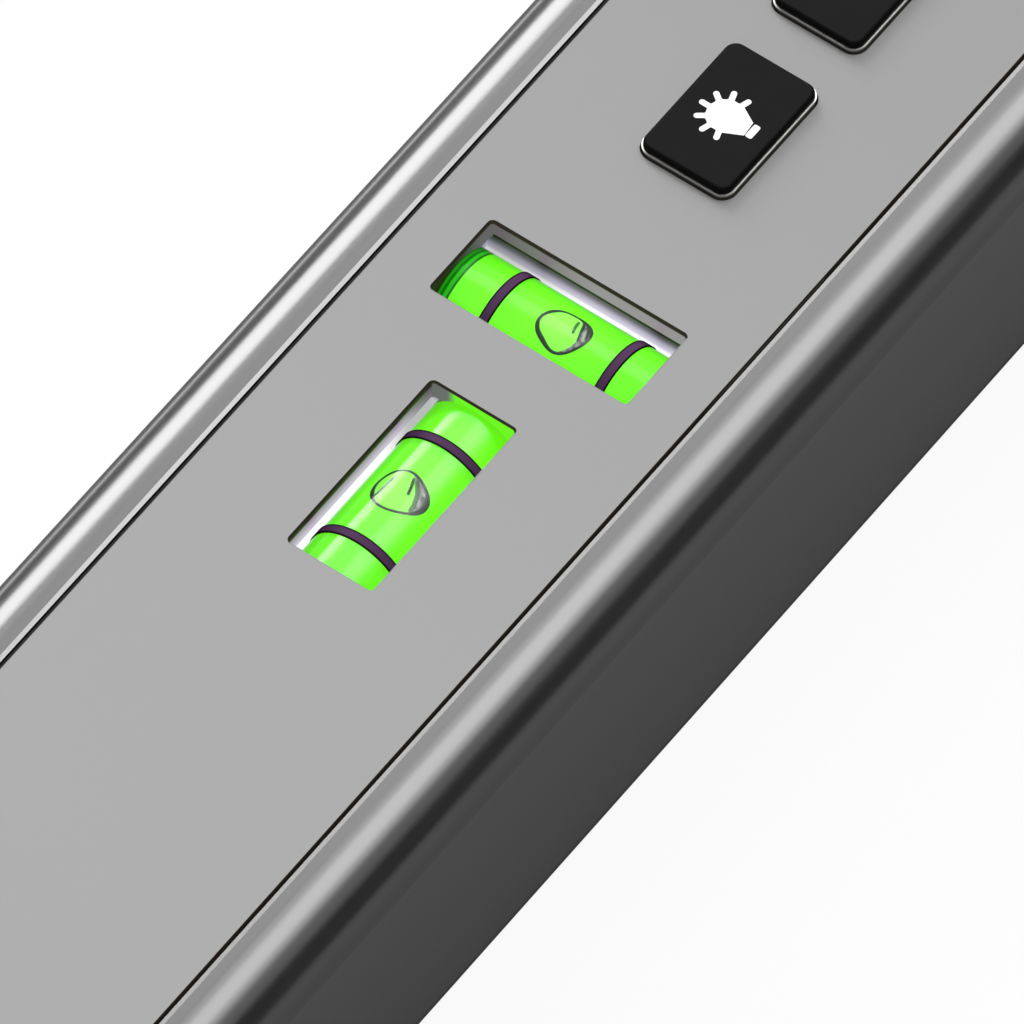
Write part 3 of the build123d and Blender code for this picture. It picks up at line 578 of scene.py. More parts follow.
wear(
    moulded("cap_plastic", (0.045, 0.045, 0.047), pebble=0.35 * MM, depth=0.02 * MM, roughness=0.5),
    "left_end_cap",
    "right_end_cap",
    "battery_door",
)
wear(
    moulded("tray_plastic", grey(0.03), pebble=0.5 * MM, depth=0.01 * MM, roughness=0.45),
    "battery_tray",
    "lamp_header",
)
wear(
    moulded("chip_epoxy", grey(0.02), pebble=0.2 * MM, depth=0.005 * MM, roughness=0.6),
    "board_chips",
)

# %% [markdown]
# ## Metals
# Screws, springs, brass and milled aluminium differ in colour, roughness and tool marks. A turned
# or milled piece shows fine lines at right angles to its axis, so the noise is stretched along the
# directions in which the tool moved.


# %% Metals
def metal(name, colour, roughness, lines, stretch):
    """Bare or plated metal with the lines that its tool left."""
    finish = Finish(name, Metallic=1.0)
    marks = finish.noise(lines, stretch=stretch, detail=3)
    stain = finish.noise(2.5 * MM, detail=4)
    finish.set(Base_Color=finish.mix(stain, shade(colour, 0.9), colour))
    finish.rough(marks, roughness - 0.06, roughness + 0.06)
    finish.bump(marks, 0.002 * MM)
    return finish


ALONG_BAR = (12, 1, 1)
ROUND_BAR = (1, 12, 12)
ROUND_UPRIGHT = (12, 12, 1)
EVEN = (1, 1, 1)
BRASS = (0.62, 0.45, 0.16)
SCREWS = ("left_cap_screws", "right_cap_screws", "barrel_grub_screws", "block_screws")
CONTACTS = ("contact_bridge", "positive_terminal", "negative_terminal")
BARRELS = ("horizontal_laser_barrel", "vertical_laser_barrel")
TRIMS = ("light_key_trim", "line_key_trim", "power_key_trim")
# Finish, colour, roughness, size and direction of the tool's lines, and the pieces that wear it.
METALS = (
    ("zinc_plate", (0.55, 0.55, 0.56), 0.3, 0.15 * MM, EVEN, SCREWS),
    ("nickel_spring", (0.62, 0.61, 0.58), 0.25, 0.1 * MM, ROUND_BAR, CONTACTS),
    ("milled_aluminium", (0.70, 0.70, 0.71), 0.3, 0.12 * MM, ALONG_BAR, ["laser_block"]),
    ("turned_brass", BRASS, 0.28, 0.1 * MM, ROUND_BAR, BARRELS),
    ("bush_brass", BRASS, 0.28, 0.1 * MM, ROUND_UPRIGHT, ["tripod_bush"]),
    ("diode_can", (0.60, 0.52, 0.30), 0.22, 0.08 * MM, ROUND_BAR, ["laser_diodes"]),
    ("key_trim", (0.62, 0.62, 0.60), 0.4, 0.08 * MM, ROUND_UPRIGHT, TRIMS),
)
for *look, worn_by in METALS:
    wear(metal(*look), *worn_by)

# %% [markdown]
# ## Clear pieces
# Glass and acrylic bend what lies behind them. In a path tracer a lamp's light can't find its way
# through a bent surface without a lot of noise, so shadow rays are let straight through: the
# shader is swapped for a transparent one when the ray is a shadow ray. A vial's tube is dull at its
# two ends, where the plugs are glued in, so the lamps draw their lines over the liquid alone.

# %% Clear pieces
TUBE_HAZE = (0.18, 0.24)
TUBE_SHINE = (grey(0.7), grey(0.1))
GLUE_EDGE = 0.2 * MM


def clear(name, tint, index, haze):
    """Clear glass or plastic that lets shadow rays through; haze is its least and most roughness."""
    finish = Finish(name, Base_Color=(*tint, 1), Transmission_Weight=1.0, IOR=index)
    smear = finish.noise(3 * MM, detail=4)
    finish.set(Roughness=finish.ramp(smear, 0.3, 0.8, *haze))
    through = finish.add("ShaderNodeBsdfTransparent", {"Color": (*tint, 1)})
    swap_shader(finish.tree, finish.add("ShaderNodeLightPath").outputs["Is Shadow Ray"], through)
    return finish


def half_length(node, axis):
    """Half the length of a CAD node's box along one axis."""
    low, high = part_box(node)
    return (getattr(high, axis) - getattr(low, axis)) / 2


def vial_acrylic(vial, axis):
    """A vial's tube, shiny over the liquid and dull where the plugs are glued in."""
    finish = clear(f"{vial}_acrylic", (1, 1, 1), index=1.49, haze=TUBE_HAZE)
    end = half_length(f"{vial}_vial_liquid", axis)
    out = finish.gap(finish.axis(axis.upper()), getattr(middle(f"{vial}_vial_tube"), axis))
    glued = finish.ramp(out, end - GLUE_EDGE, end + GLUE_EDGE)
    finish.set(Specular_Tint=finish.mix(glued, *TUBE_SHINE))
    return finish


wear(clear("window_glass", (0.93, 0.97, 0.98), index=1.5, haze=(0.0, 0.03)), "laser_window")
wear(
    clear("optical_glass", (0.95, 0.98, 0.99), index=1.52, haze=(0.0, 0.02)),
    "collimating_lenses",
    "horizontal_line_lens",
    "vertical_line_lens",
)
wear(vial_acrylic("level", "x"), "level_vial_tube")
wear(vial_acrylic("plumb", "y"), "plumb_vial_tube")

# %% [markdown]
# ## Inside: cells, leads, boards and lamps
# Most of this is out of sight in the closed bar, but the model is kept whole. A cell has a printed
# sleeve with a dark band at its flat end and bare metal at both ends. A board is green lacquer
# over copper tracks, drawn as the thin lines of a brick pattern.

# %% Cells
SLEEVE_END = 1.6 * MM
BAND_LENGTH = 11 * MM


def cell_sleeve(cell, flat_end):
    """A plain silver sleeve, dark over its flat end; flat_end is +1 if that end faces +X."""
    low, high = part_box(cell)
    finish = Finish(f"{cell}_sleeve")
    depth = finish.gap(finish.axis("X"), high.x if flat_end > 0 else low.x)
    print_grain = finish.noise(0.2 * MM)
    sleeve = finish.mix(print_grain, (0.30, 0.32, 0.34), (0.36, 0.38, 0.40))
    coat = finish.mix(finish.maths("LESS_THAN", depth, BAND_LENGTH), sleeve, grey(0.02))
    out = finish.gap(finish.axis("X"), middle(cell).x)
    bare = finish.maths("GREATER_THAN", out, half_length(cell, "x") - SLEEVE_END)
    finish.set(Base_Color=finish.mix(bare, coat, grey(0.7)))
    finish.set(Metallic=finish.ramp(bare, 0, 1, 0.5, 1.0))
    finish.rough(print_grain, 0.26, 0.34)
    return finish


wear(cell_sleeve("rear_cell", flat_end=1), "rear_cell")
wear(cell_sleeve("front_cell", flat_end=-1), "front_cell")


# %% Leads, boards and lamps
def circuit_board(name, turn):
    """Green solder mask over copper tracks; turn lays the pattern on the board's plane."""
    finish = Finish(name, Roughness=0.35)
    mapped = finish.add("ShaderNodeMapping", {"Vector": finish.place, "Rotation": turn})
    inputs = {
        "Vector": mapped.outputs[0],
        "Scale": 1.0,
        "Brick Width": 6 * MM,
        "Row Height": 1.3 * MM,
        "Mortar Size": 0.12 * MM,
        "Mortar Smooth": 0.3,
    }
    tracks = finish.add("ShaderNodeTexBrick", inputs).outputs["Fac"]
    weave = finish.noise(0.4 * MM)
    mask = finish.mix(weave, (0.008, 0.11, 0.045), (0.012, 0.13, 0.055))
    finish.set(Base_Color=finish.mix(tracks, mask, (0.03, 0.24, 0.09)))
    finish.bump(tracks, 0.02 * MM)
    return finish


def lamp_phosphor():
    """A lamp's pale yellow phosphor, in a slightly grainy gel."""
    finish = Finish("lamp_phosphor", Roughness=0.3)
    gel = finish.noise(0.2 * MM)
    finish.set(Base_Color=finish.mix(gel, (0.90, 0.80, 0.40), (0.98, 0.88, 0.48)))
    finish.bump(gel, 0.004 * MM)
    return finish


wear(rubber("lead_red", (0.45, 0.02, 0.02)), "positive_lead")
wear(rubber("lead_black", grey(0.02)), "negative_lead")
wear(circuit_board("board_flat", (0, 0, 0)), "main_board", "lamp_board")
wear(circuit_board("board_upright", (0, math.radians(90), 0)), "driver_board")
wear(lamp_phosphor(), "vial_lamps")
wear(
    rubber("dome_silicone", grey(0.45)),
    "key_mat",
    "light_key_dome",
    "line_key_dome",
    "power_key_dome",
)

# %% [markdown]
# ## The vial cradles and rings
# Each vial lies in a white plastic trough with a lamp below it. The light from that lamp is painted
# as a glow in the trough: white beside the tube, lilac higher up and dark under the face plate. The
# glow follows the height, and a painted shade takes part of it away towards the end that the face
# plate shades.
# Two rings are printed round the tube in flat dark violet ink, which piles up at their edges.

# %% Cradles and rings
CRADLE_WHITES = ((0.24, 0.23, 0.25), (0.28, 0.27, 0.29))
LILAC_GLOW = (0.50, 0.47, 0.60)
WHITE_GLOW = grey(0.92)
RING_WIDTH = 1.0 * MM
RING_VIOLETS = ((0.080, 0.037, 0.090), (0.100, 0.047, 0.112))
RING_EDGE = (0.008, 0.004, 0.009)


def cradle_plastic(vial, axis, start, end, shade_share):
    """White plastic with a painted glow from within; a painted shade takes part of it from start to
    end along an axis.
    """
    finish = Finish(f"{vial}_cradle_plastic", Emission_Strength=1.0, Specular_IOR_Level=0.0)
    cloud = finish.noise(4 * MM, detail=3)
    height = finish.maths("SUBTRACT", finish.axis("Z"), middle("level_vial_tube").z)
    # Painted light: the glow stands for the lamp below; it fades to black under the plate, and along
    # the axis, as painted shade.
    glow = finish.mix(finish.ramp(height, 2.1 * MM, 0.5 * MM), BLACK, LILAC_GLOW)
    glow = finish.mix(finish.ramp(height, 0.6 * MM, 0.0), glow, WHITE_GLOW)
    glow = finish.mix(finish.ramp(finish.axis(axis), start, end, 0.0, shade_share), glow, BLACK)
    finish.set(Base_Color=finish.mix(cloud, *CRADLE_WHITES), Emission_Color=glow)
    finish.rough(cloud, 0.45, 0.55)
    finish.bump(finish.noise(0.3 * MM), 0.002 * MM)
    return finish


def ring_ink(vial, axis):
    """Violet ink, darker at the edges of each ring; axis is the vial's own direction."""
    finish = Finish(f"{vial}_ring_ink", Roughness=0.6, Specular_IOR_Level=0.0)
    rings = f"{vial}_vial_rings"
    out = finish.gap(finish.axis(axis.upper()), getattr(middle(rings), axis))
    off = finish.gap(out, half_length(rings, axis) - RING_WIDTH / 2)
    pile = finish.ramp(off, 0.3 * RING_WIDTH, 0.44 * RING_WIDTH)
    speckle = finish.noise(0.12 * MM)
    finish.set(Base_Color=finish.mix(pile, finish.mix(speckle, *RING_VIOLETS), RING_EDGE))
    return finish


wear(cradle_plastic("level", "X", start=-13 * MM, end=-8.5 * MM, shade_share=0.55), "level_vial_cradle")
wear(cradle_plastic("plumb", "Y", start=-1 * MM, end=10 * MM, shade_share=0.45), "plumb_vial_cradle")
wear(ring_ink("level", "x"), "level_vial_rings")
wear(ring_ink("plumb", "y"), "plumb_vial_rings")

# %% [markdown]
# ## The liquid and the plugs
# The spirit is dyed with a fluorescent green that seems to glow. Its glow is also painted light: it
# is strong enough to keep the spirit bright where the face plate shades it, and the plugs and the
# bubble glow with it. It wets the tube, so the tube acts as a lens and the green fills it from edge
# to edge. Two surfaces in the same place would flicker, and a gap of air would spoil the lens, so
# the new liquid reaches a hair into the wall. A solid of revolution is one ring of points carried
# along the axis, closed by a cap at each end.

# %% Round cores
CORE_SIDES = 96
GLUE_GAP = 0.03 * MM
WETTING = 0.03 * MM
UPWARD = Vector((0, 0, 1))
along_axis = {"level": Vector((1, 0, 0)), "plumb": Vector((0, 1, 0))}
axis_at = {vial: middle(f"{vial}_vial_tube") for vial in along_axis}
core_radius = {}
for vial in along_axis:
    core_radius[vial] = half_length(f"{vial}_vial_plugs", "z") + GLUE_GAP + WETTING
    print(vial, "core radius in mm:", round(core_radius[vial] / MM, 3))


def new_piece(name, mesh):
    """Turn a bmesh into an object at the origin."""
    data = bpy.data.meshes.new(name)
    mesh.to_mesh(data)
    mesh.free()
    piece = bpy.data.objects.new(name, data)
    scene.collection.objects.link(piece)
    return piece


def round_cores(name, vial, spans):
    """Closed round bars that fill a vial, one for each (start, end) from its middle."""
    mesh = bmesh.new()
    along = along_axis[vial]
    aside = UPWARD.cross(along)
    for start, end in spans:
        rings = []
        for reach in (start, end):
            ring = []
            for k in range(CORE_SIDES):
                turn = 2 * math.pi * k / CORE_SIDES
                out = aside * math.cos(turn) + UPWARD * math.sin(turn)
                ring.append(mesh.verts.new(axis_at[vial] + along * reach + out * core_radius[vial]))
            rings.append(ring)
        for k in range(CORE_SIDES):
            after = (k + 1) % CORE_SIDES
            side = mesh.faces.new((rings[0][k], rings[0][after], rings[1][after], rings[1][k]))
            side.smooth = True
        for ring in rings:
            mesh.faces.new(ring)
    bmesh.ops.recalc_face_normals(mesh, faces=mesh.faces)
    return new_piece(name, mesh)


# %% Liquid and plug finishes
PAINTED_GLOW = 0.55
SPIRIT_GLOW = 0.88
SPIRIT_GREEN = (0.145, 0.95, 0.010)
PLUG_GREENS = ((0.022, 0.43, 0.010), (0.005, 0.08, 0.003))
JOINT_GREEN = (0.002, 0.15, 0.001)
JOINT_LINES = ((0.06 * MM, 0.20 * MM), (0.72 * MM, 0.17 * MM))


def unsampled(finish):
    """A glow too faint to light its surroundings, which the lamps' sampling can leave out."""
    finish.material.cycles.emission_sampling = "NONE"
    return finish


def vial_spirit():
    """Fluorescent green spirit: it scatters some light and glows with the rest, partly as painted
    light.
    """
    finish = Finish("vial_spirit", Roughness=0.5, Specular_IOR_Level=0.0)
    swirl = finish.noise(5 * MM, detail=2)
    finish.set(Base_Color=finish.mix(swirl, shade(SPIRIT_GREEN, 0.45), shade(SPIRIT_GREEN, 0.5)))
    finish.set(Emission_Color=finish.mix(swirl, shade(SPIRIT_GREEN, 0.95), SPIRIT_GREEN))
    # Painted light in part: the glow is strong enough to keep the spirit bright where the plate
    # shades it.
    finish.set(Emission_Strength=SPIRIT_GLOW)
    return unsampled(finish)


def plug_plastic(vial, axis):
    """Green plugs with a painted glow and dark joint lines, told apart by their depth behind the
    liquid's end.
    """
    finish = Finish(f"{vial}_plug_plastic", Roughness=0.4, Specular_IOR_Level=0.0)
    out = finish.gap(finish.axis(axis.upper()), getattr(axis_at[vial], axis))
    depth = finish.maths("SUBTRACT", out, liquid_reach[vial])
    tone = finish.mix(finish.ramp(depth, 0.5 * MM, 1.5 * MM), *PLUG_GREENS)
    for line, width in JOINT_LINES:
        joint = finish.ramp(finish.gap(depth, line), width, 0.6 * width)
        tone = finish.mix(joint, tone, JOINT_GREEN)
    # Painted light: the plugs glow with the spirit.
    finish.set(Base_Color=tone, Emission_Color=tone, Emission_Strength=PAINTED_GLOW)
    return unsampled(finish)


# %% Fill the vials
liquid_reach = {}
for vial, axis in (("level", "x"), ("plumb", "y")):
    reach = liquid_reach[vial] = half_length(f"{vial}_vial_liquid", axis)
    plug_reach = half_length(f"{vial}_vial_plugs", axis)
    core = round_cores(f"{vial}_spirit", vial, [(-reach, reach)])
    core.data.materials.append(vial_spirit().material)
    core.visible_diffuse = False
    core.visible_shadow = False
    nodes[f"{vial}_vial_tube"].visible_diffuse = False
    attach(core, "housing")
    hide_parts(f"{vial}_vial_liquid")
    plugs = round_cores(f"{vial}_plugs", vial, [(reach, plug_reach), (-plug_reach, -reach)])
    plugs.data.materials.append(plug_plastic(vial, axis).material)
    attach(plugs, "housing")
    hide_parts(f"{vial}_vial_plugs")
    print(vial, "liquid length in mm:", round(2 * reach / MM, 2))

# %% [markdown]
# ## The bubbles
# A bubble lies flat under the top of its tube. What shows is its edge, a dark line where light is
# bent away, a silvery crescent where the edge catches a lamp, and a few dark streaks. The line and
# the streaks are painted shade and the crescent is a painted glint. The bubble is a thin lens that
# follows the tube's curve. Its outline is a circle with a few slow waves round it.
# Painting the lines on a flat picture is one way; here each point of the mesh stores how much
# painted shade and painted glint it has, from its distance to the edge, to short strokes and to a
# large circle that cuts off the crescent, so the lines follow the bubble as it runs.

# %% Bubble outline and strokes
BUBBLE_SEGMENTS = 180
BUBBLE_RINGS = 44
SKIN = 0.05 * MM
RIM_SKIN = 0.015 * MM
LINE_CORE = 0.7
STROKE_CORE = 0.6
GLINT_EDGE = (-0.05, 0.12)
MERGE = 0.001 * MM


def swell(turn, at, spread):
    """A smooth swell that is 1 at one angle and 0 beyond a spread, all in degrees."""
    off = abs((turn - at + 180) % 360 - 180)
    return math.cos(math.radians(90 * off / spread)) ** 2 if off < spread else 0.0


def heading(turn):
    """A step of one unit in the plane of the face, at an angle in degrees."""
    return Vector((math.cos(math.radians(turn)), math.sin(math.radians(turn))))


def edge_reach(look, turn):
    """How far the bubble's edge is from its middle at one angle, in millimetres."""
    waves = [part * math.cos(math.radians(count * turn - at)) for count, part, at in look["waves"]]
    return look["radius"] + sum(waves)


def fade(value, start, end):
    """A smooth step from 0 at start to 1 at end."""
    share = min(max((value - start) / (end - start), 0), 1)
    return share * share * (3 - 2 * share)


def along_stroke(spot, stroke):
    """How strongly a brush stroke covers a spot: most on its line, none past its half width."""
    points, half_width, strength = stroke
    cover = 0.0
    for start, end in zip(points, points[1:]):
        run = Vector(end) - Vector(start)
        share = min(max((spot - Vector(start)).dot(run) / run.length_squared, 0), 1)
        gap = (spot - Vector(start) - run * share).length
        cover = max(cover, strength * fade(gap, half_width, STROKE_CORE * half_width))
    return cover


# %% Bubble mesh
def bubble_lens(name, vial, look):
    """A thin curved lens, with its painted shade and painted glint stored at each of its points."""
    along = along_axis[vial]
    aside = UPWARD.cross(along)
    moon_at, moon_radius, moon_shift = look["moon"]
    moon = heading(moon_at) * moon_shift
    mesh = bmesh.new()
    dark = mesh.verts.layers.float.new("dark")
    painted_glint = mesh.verts.layers.float.new("painted_glint")

    def point(k, share, lift):
        """A point of the lens, laid out flat in millimetres and then bent round the tube."""
        turn = 360 * k / BUBBLE_SEGMENTS
        reach = edge_reach(look, turn)
        spot = heading(turn) * reach * share
        laid = Vector((*spot, 0)) * MM
        rise = core_radius[vial] + lift
        bend = laid.dot(aside) / rise
        out = aside * math.sin(bend) + UPWARD * math.cos(bend)
        vert = mesh.verts.new(axis_at[vial] + along * laid.dot(along) + out * rise)
        heavier = sum(part * swell(turn, at, spread) for at, part, spread in look["heavy"])
        thick = look["line"] * (1 + heavier)
        lines = [fade(reach * (1 - share), thick, LINE_CORE * thick)]
        lines += [along_stroke(spot, stroke) for stroke in look["strokes"]]
        # Painted shade: the dark line and streaks; painted glint: the crescent.
        vert[dark] = max(lines)
        vert[painted_glint] = fade((spot + moon).length - moon_radius, *GLINT_EDGE)
        return vert

    skins = []
    for crown in (SKIN, RIM_SKIN):
        tip = point(0, 0, crown)
        rings = []
        for ring in range(1, BUBBLE_RINGS + 1):
            share = ring / BUBBLE_RINGS
            lift = RIM_SKIN + (crown - RIM_SKIN) * (1 - share**2)
            rings.append([point(k, share, lift) for k in range(BUBBLE_SEGMENTS)])
        skins.append((tip, rings))
    for tip, rings in skins:
        for k in range(BUBBLE_SEGMENTS):
            after = (k + 1) % BUBBLE_SEGMENTS
            mesh.faces.new((tip, rings[0][k], rings[0][after])).smooth = True
            for inner, outer in zip(rings, rings[1:]):
                mesh.faces.new((inner[k], outer[k], outer[after], inner[after])).smooth = True
    bmesh.ops.remove_doubles(mesh, verts=skins[0][1][-1] + skins[1][1][-1], dist=MERGE)
    bmesh.ops.recalc_face_normals(mesh, faces=mesh.faces)
    return new_piece(name, mesh)


# %% Bubble finish
FILM_GREENS = ((0.17, 0.92, 0.04), (0.22, 0.97, 0.07))
FILM_GLINTS = ((0.05, 0.06, 0.05), (0.24, 0.26, 0.24))
FILM_DARK = (0.010, 0.022, 0.010)


def bubble_film():
    """Green a little paler than the spirit, with a painted glint and painted dark lines from the
    mesh.
    """
    finish = Finish("bubble_film", Roughness=0.3, Specular_IOR_Level=0.0, Emission_Strength=PAINTED_GLOW)
    dark = finish.add("ShaderNodeAttribute", attribute_name="dark").outputs["Fac"]
    painted_glint = finish.add("ShaderNodeAttribute", attribute_name="painted_glint").outputs["Fac"]
    ripple = finish.noise(0.5 * MM, detail=3)
    # Painted glint and painted shade lines, on a film that glows as painted light.
    shine = finish.mix(finish.ramp(ripple, 0.35, 0.65), *FILM_GLINTS)
    tone = finish.mix(painted_glint, finish.mix(ripple, *FILM_GREENS), shine)
    tone = finish.mix(dark, tone, FILM_DARK)
    finish.set(Base_Color=tone, Emission_Color=tone)
    return unsampled(finish)


# %% Bubbles
# Lengths are in millimetres and angles in degrees. A wave has a count round the edge, a height and
# an angle; a heavy part of the line an angle, a share and a spread; the moon, which is the circle
# that cuts off the crescent, an angle, a radius and a shift; a stroke points, a half width and a
# strength.
BUBBLE_LOOKS = {
    "level": {
        "radius": 2.49,
        "waves": [(1, 0.325, 70), (2, 0.19, -172), (3, 0.10, 98), (4, 0.03, 71)],
        "line": 0.36,
        "heavy": [(-85, 0.8, 50), (120, 0.4, 40)],
        "moon": (-60, 4.2, 2.92),
        "strokes": [
            (((-1.85, 1.93), (-1.80, 1.97)), 0.42, 1.0),
            (((-1.49, 1.93), (-0.33, 1.80), (1.02, 1.72)), 0.21, 0.95),
            (((0.28, -0.41), (1.02, -0.20), (1.84, 0.10)), 0.19, 1.0),
            (((1.73, -0.33), (0.75, -1.04), (-0.37, -1.44), (-0.85, -1.47)), 0.28, 0.9),
        ],
    },
    "plumb": {
        "radius": 2.36,
        "waves": [(1, 0.22, -90), (2, 0.20, -173), (3, 0.075, -149), (4, 0.065, 102)],
        "line": 0.31,
        "heavy": [(140, 0.8, 80), (58, 0.5, 40), (-48, 0.6, 35)],
        "moon": (-75, 2.25, 0.47),
        "strokes": [
            (((1.71, -1.26), (0.83, -1.55), (-0.12, -1.90)), 0.19, 1.0),
            (((1.85, -1.78), (1.10, -2.10), (0.30, -2.42)), 0.17, 1.0),
            (((1.47, -0.77), (0.80, -0.89), (0.27, -1.07)), 0.21, 0.9),
        ],
    },
}
film = bubble_film()
for vial, look in BUBBLE_LOOKS.items():
    lens = bubble_lens(f"{vial}_bubble_lens", vial, look)
    lens.data.materials.append(film.material)
    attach(lens, f"{vial}_bubble")
    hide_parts(f"{vial}_vial_bubble")
    print(vial, "bubble has", len(lens.data.polygons), "faces")

# %% [markdown]
# ## The keys
# Each key is soft-touch black rubber with rounded edges, with a painted shade that darkens its rim.
# Below the bright trim its skirt is painted light brown, painted light that makes the shaded gap
# show as a thin line.

# %% Key rubber
KEY_BLACKS = (grey(0.0075), grey(0.0095))
RIM_SHADE = grey(0.002)
RIM_TURN = (0.999, 0.9)
SKIRT_PAINTED_LIGHT = (0.16, 0.14, 0.12)


def key_rubber():
    """Soft-touch black: matt, with a very fine grain, a painted shade at its rim and painted light
    below.
    """
    finish = Finish("key_rubber", Specular_IOR_Level=0.05)
    grain = finish.noise(0.1 * MM)
    cloud = finish.noise(3 * MM)
    # Painted shade: the rim darkens where the surface turns down.
    rim = finish.ramp(finish.turned()["Z"], *RIM_TURN)
    tone = finish.mix(rim, finish.mix(cloud, *KEY_BLACKS), RIM_SHADE)
    # Painted light: the skirt is lighter so that the shaded gap shows as a thin line.
    under = finish.maths("LESS_THAN", finish.axis("Z"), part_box("light_key_trim")[0].z)
    finish.set(Base_Color=finish.mix(under, tone, SKIRT_PAINTED_LIGHT))
    finish.rough(grain, 0.6, 0.7)
    finish.bump(grain, 0.002 * MM)
    return finish


wear(key_rubber(), "light_key", "line_key", "power_key")

# %% [markdown]
# ## The icons on the keys
# The icons are white ink printed on the keys: a lamp, a cross hair for the laser lines, and the
# common on-off sign. Each has bars that repeat round a centre, such as the rays of the lamp, so a
# Geometry Nodes tree adds them: a bar with round ends is instanced once for each step of a turn.
# The rest of each icon is an outline that is filled and given the thickness of the ink.

# %% Outlines filled with ink
INK = 0.012 * MM
BAR_INK = 0.009 * MM
INK_ROOT = 0.05 * MM
ARC_STEPS = 48


def arc(radius, start, end, centre=(0, 0), steps=ARC_STEPS):
    """Points along an arc, angles in degrees."""
    turns = [math.radians(start + (end - start) * k / steps) for k in range(steps + 1)]
    return [(centre[0] + radius * math.cos(t), centre[1] + radius * math.sin(t)) for t in turns]


def fill_ink(mesh, outline):
    """Add a slab of ink over a closed outline, given in millimetres."""
    low = [mesh.verts.new((x * MM, y * MM, -INK_ROOT)) for x, y in outline]
    high = [mesh.verts.new((x * MM, y * MM, INK)) for x, y in outline]
    mesh.faces.new(low[::-1])
    mesh.faces.new(high)
    for k in range(len(outline)):
        after = (k + 1) % len(outline)
        mesh.faces.new((low[k], low[after], high[after], high[k]))


def ring_ink_band(mesh, inner, outer, start, end):
    """Add a band of ink along an arc: a square carried round it, with two ends unless it closes."""
    squares = []
    for near, far in zip(arc(inner, start, end), arc(outer, start, end)):
        corners = ((*near, -INK_ROOT), (*far, -INK_ROOT), (*far, INK), (*near, INK))
        squares.append([mesh.verts.new((x * MM, y * MM, z)) for x, y, z in corners])
    for here, there in zip(squares, squares[1:]):
        for k in range(4):
            mesh.faces.new((here[k], here[k - 1], there[k - 1], there[k]))
    if end - start < 360:
        mesh.faces.new(squares[0])
        mesh.faces.new(squares[-1])
    else:
        bmesh.ops.remove_doubles(mesh, verts=squares[0] + squares[-1], dist=MERGE)
    bmesh.ops.recalc_face_normals(mesh, faces=mesh.faces)


# %% Repeated bars
ROUND_END = 0.499
END_STEPS = 8
WELD = 1e-7


def bar_tree():
    """A Geometry Nodes tree that adds bars with round ends, turned in steps about the centre."""
    tree = bpy.data.node_groups.new("icon_bars", "GeometryNodeTree")
    tree.is_modifier = True
    angles = ("First angle", "Step angle")
    lengths = ("Inner radius", "Outer radius", "Bar width", "Ink depth", "Ink root")
    kinds = {"Geometry": "Geometry", "Bars": "Int", **dict.fromkeys(angles + lengths, "Float")}
    kinds["Ink"] = "Material"
    for name, kind in kinds.items():
        tree.interface.new_socket(name, in_out="INPUT", socket_type=f"NodeSocket{kind}")
    tree.interface.new_socket("Geometry", in_out="OUTPUT", socket_type="NodeSocketGeometry")

    def add(kind, inputs=None, **settings):
        return add_node(tree, kind, inputs, **settings)

    def sum_of(operation, first, second):
        inputs = {"Value": first, "Value_001": second}
        return add("ShaderNodeMath", inputs, operation=operation).outputs[0]

    sizes = add("NodeGroupInput").outputs
    length = sum_of("SUBTRACT", sizes["Outer radius"], sizes["Inner radius"])
    half = sum_of("MULTIPLY", length, 0.5)
    frame_curve = add(
        "GeometryNodeCurvePrimitiveQuadrilateral", {"Width": length, "Height": sizes["Bar width"]}
    )
    corner = sum_of("MULTIPLY", sizes["Bar width"], ROUND_END)
    round_curve = add(
        "GeometryNodeFilletCurve",
        {"Curve": frame_curve.outputs[0], "Radius": corner, "Count": END_STEPS},
        mode="POLY",
    )
    filled = add("GeometryNodeFillCurve", {"Curve": round_curve.outputs[0]}, mode="NGONS")
    thickness = sum_of("ADD", sizes["Ink depth"], sizes["Ink root"])
    raised = add("GeometryNodeExtrudeMesh", {"Mesh": filled.outputs[0], "Offset Scale": thickness})
    under = add("GeometryNodeFlipFaces", {"Mesh": filled.outputs[0]})
    both = add("GeometryNodeJoinGeometry")
    for part in (under.outputs[0], raised.outputs[0]):
        tree.links.new(part, both.inputs[0])
    whole = add("GeometryNodeMergeByDistance", {"Geometry": both.outputs[0], "Distance": WELD})
    reach = sum_of("ADD", sizes["Inner radius"], half)
    sunk = sum_of("MULTIPLY", sizes["Ink root"], -1.0)
    out = add("ShaderNodeCombineXYZ", {"X": reach, "Z": sunk})
    bar = add("GeometryNodeTransform", {"Geometry": whole.outputs[0], "Translation": out.outputs[0]})
    points = add("GeometryNodeMeshLine", {"Count": sizes["Bars"], "Offset": (0, 0, 0)})
    step = sum_of("MULTIPLY", add("GeometryNodeInputIndex").outputs[0], sizes["Step angle"])
    turn = add("ShaderNodeCombineXYZ", {"Z": sum_of("ADD", step, sizes["First angle"])})
    bars = add(
        "GeometryNodeInstanceOnPoints",
        {"Points": points.outputs[0], "Instance": bar.outputs[0], "Rotation": turn.outputs[0]},
    )
    icon = add("GeometryNodeJoinGeometry")
    for part in (sizes["Geometry"], bars.outputs[0]):
        tree.links.new(part, icon.inputs[0])
    real = add("GeometryNodeRealizeInstances", {"Geometry": icon.outputs[0]})
    inked = add("GeometryNodeSetMaterial", {"Geometry": real.outputs[0], "Material": sizes["Ink"]})
    tree.links.new(inked.outputs[0], add("NodeGroupOutput").inputs[0])
    return tree


icon_bars = bar_tree()
print("bar tree has", len(icon_bars.nodes), "nodes")


# %% Print an icon
def white_ink():
    """Opaque white ink with a slightly uneven coat."""
    finish = Finish("white_ink", Roughness=0.45)
    coat = finish.noise(0.25 * MM)
    finish.set(Base_Color=finish.mix(coat, grey(0.90), grey(0.98)))
    finish.bump(coat, 0.002 * MM)
    return finish


ink = white_ink().material


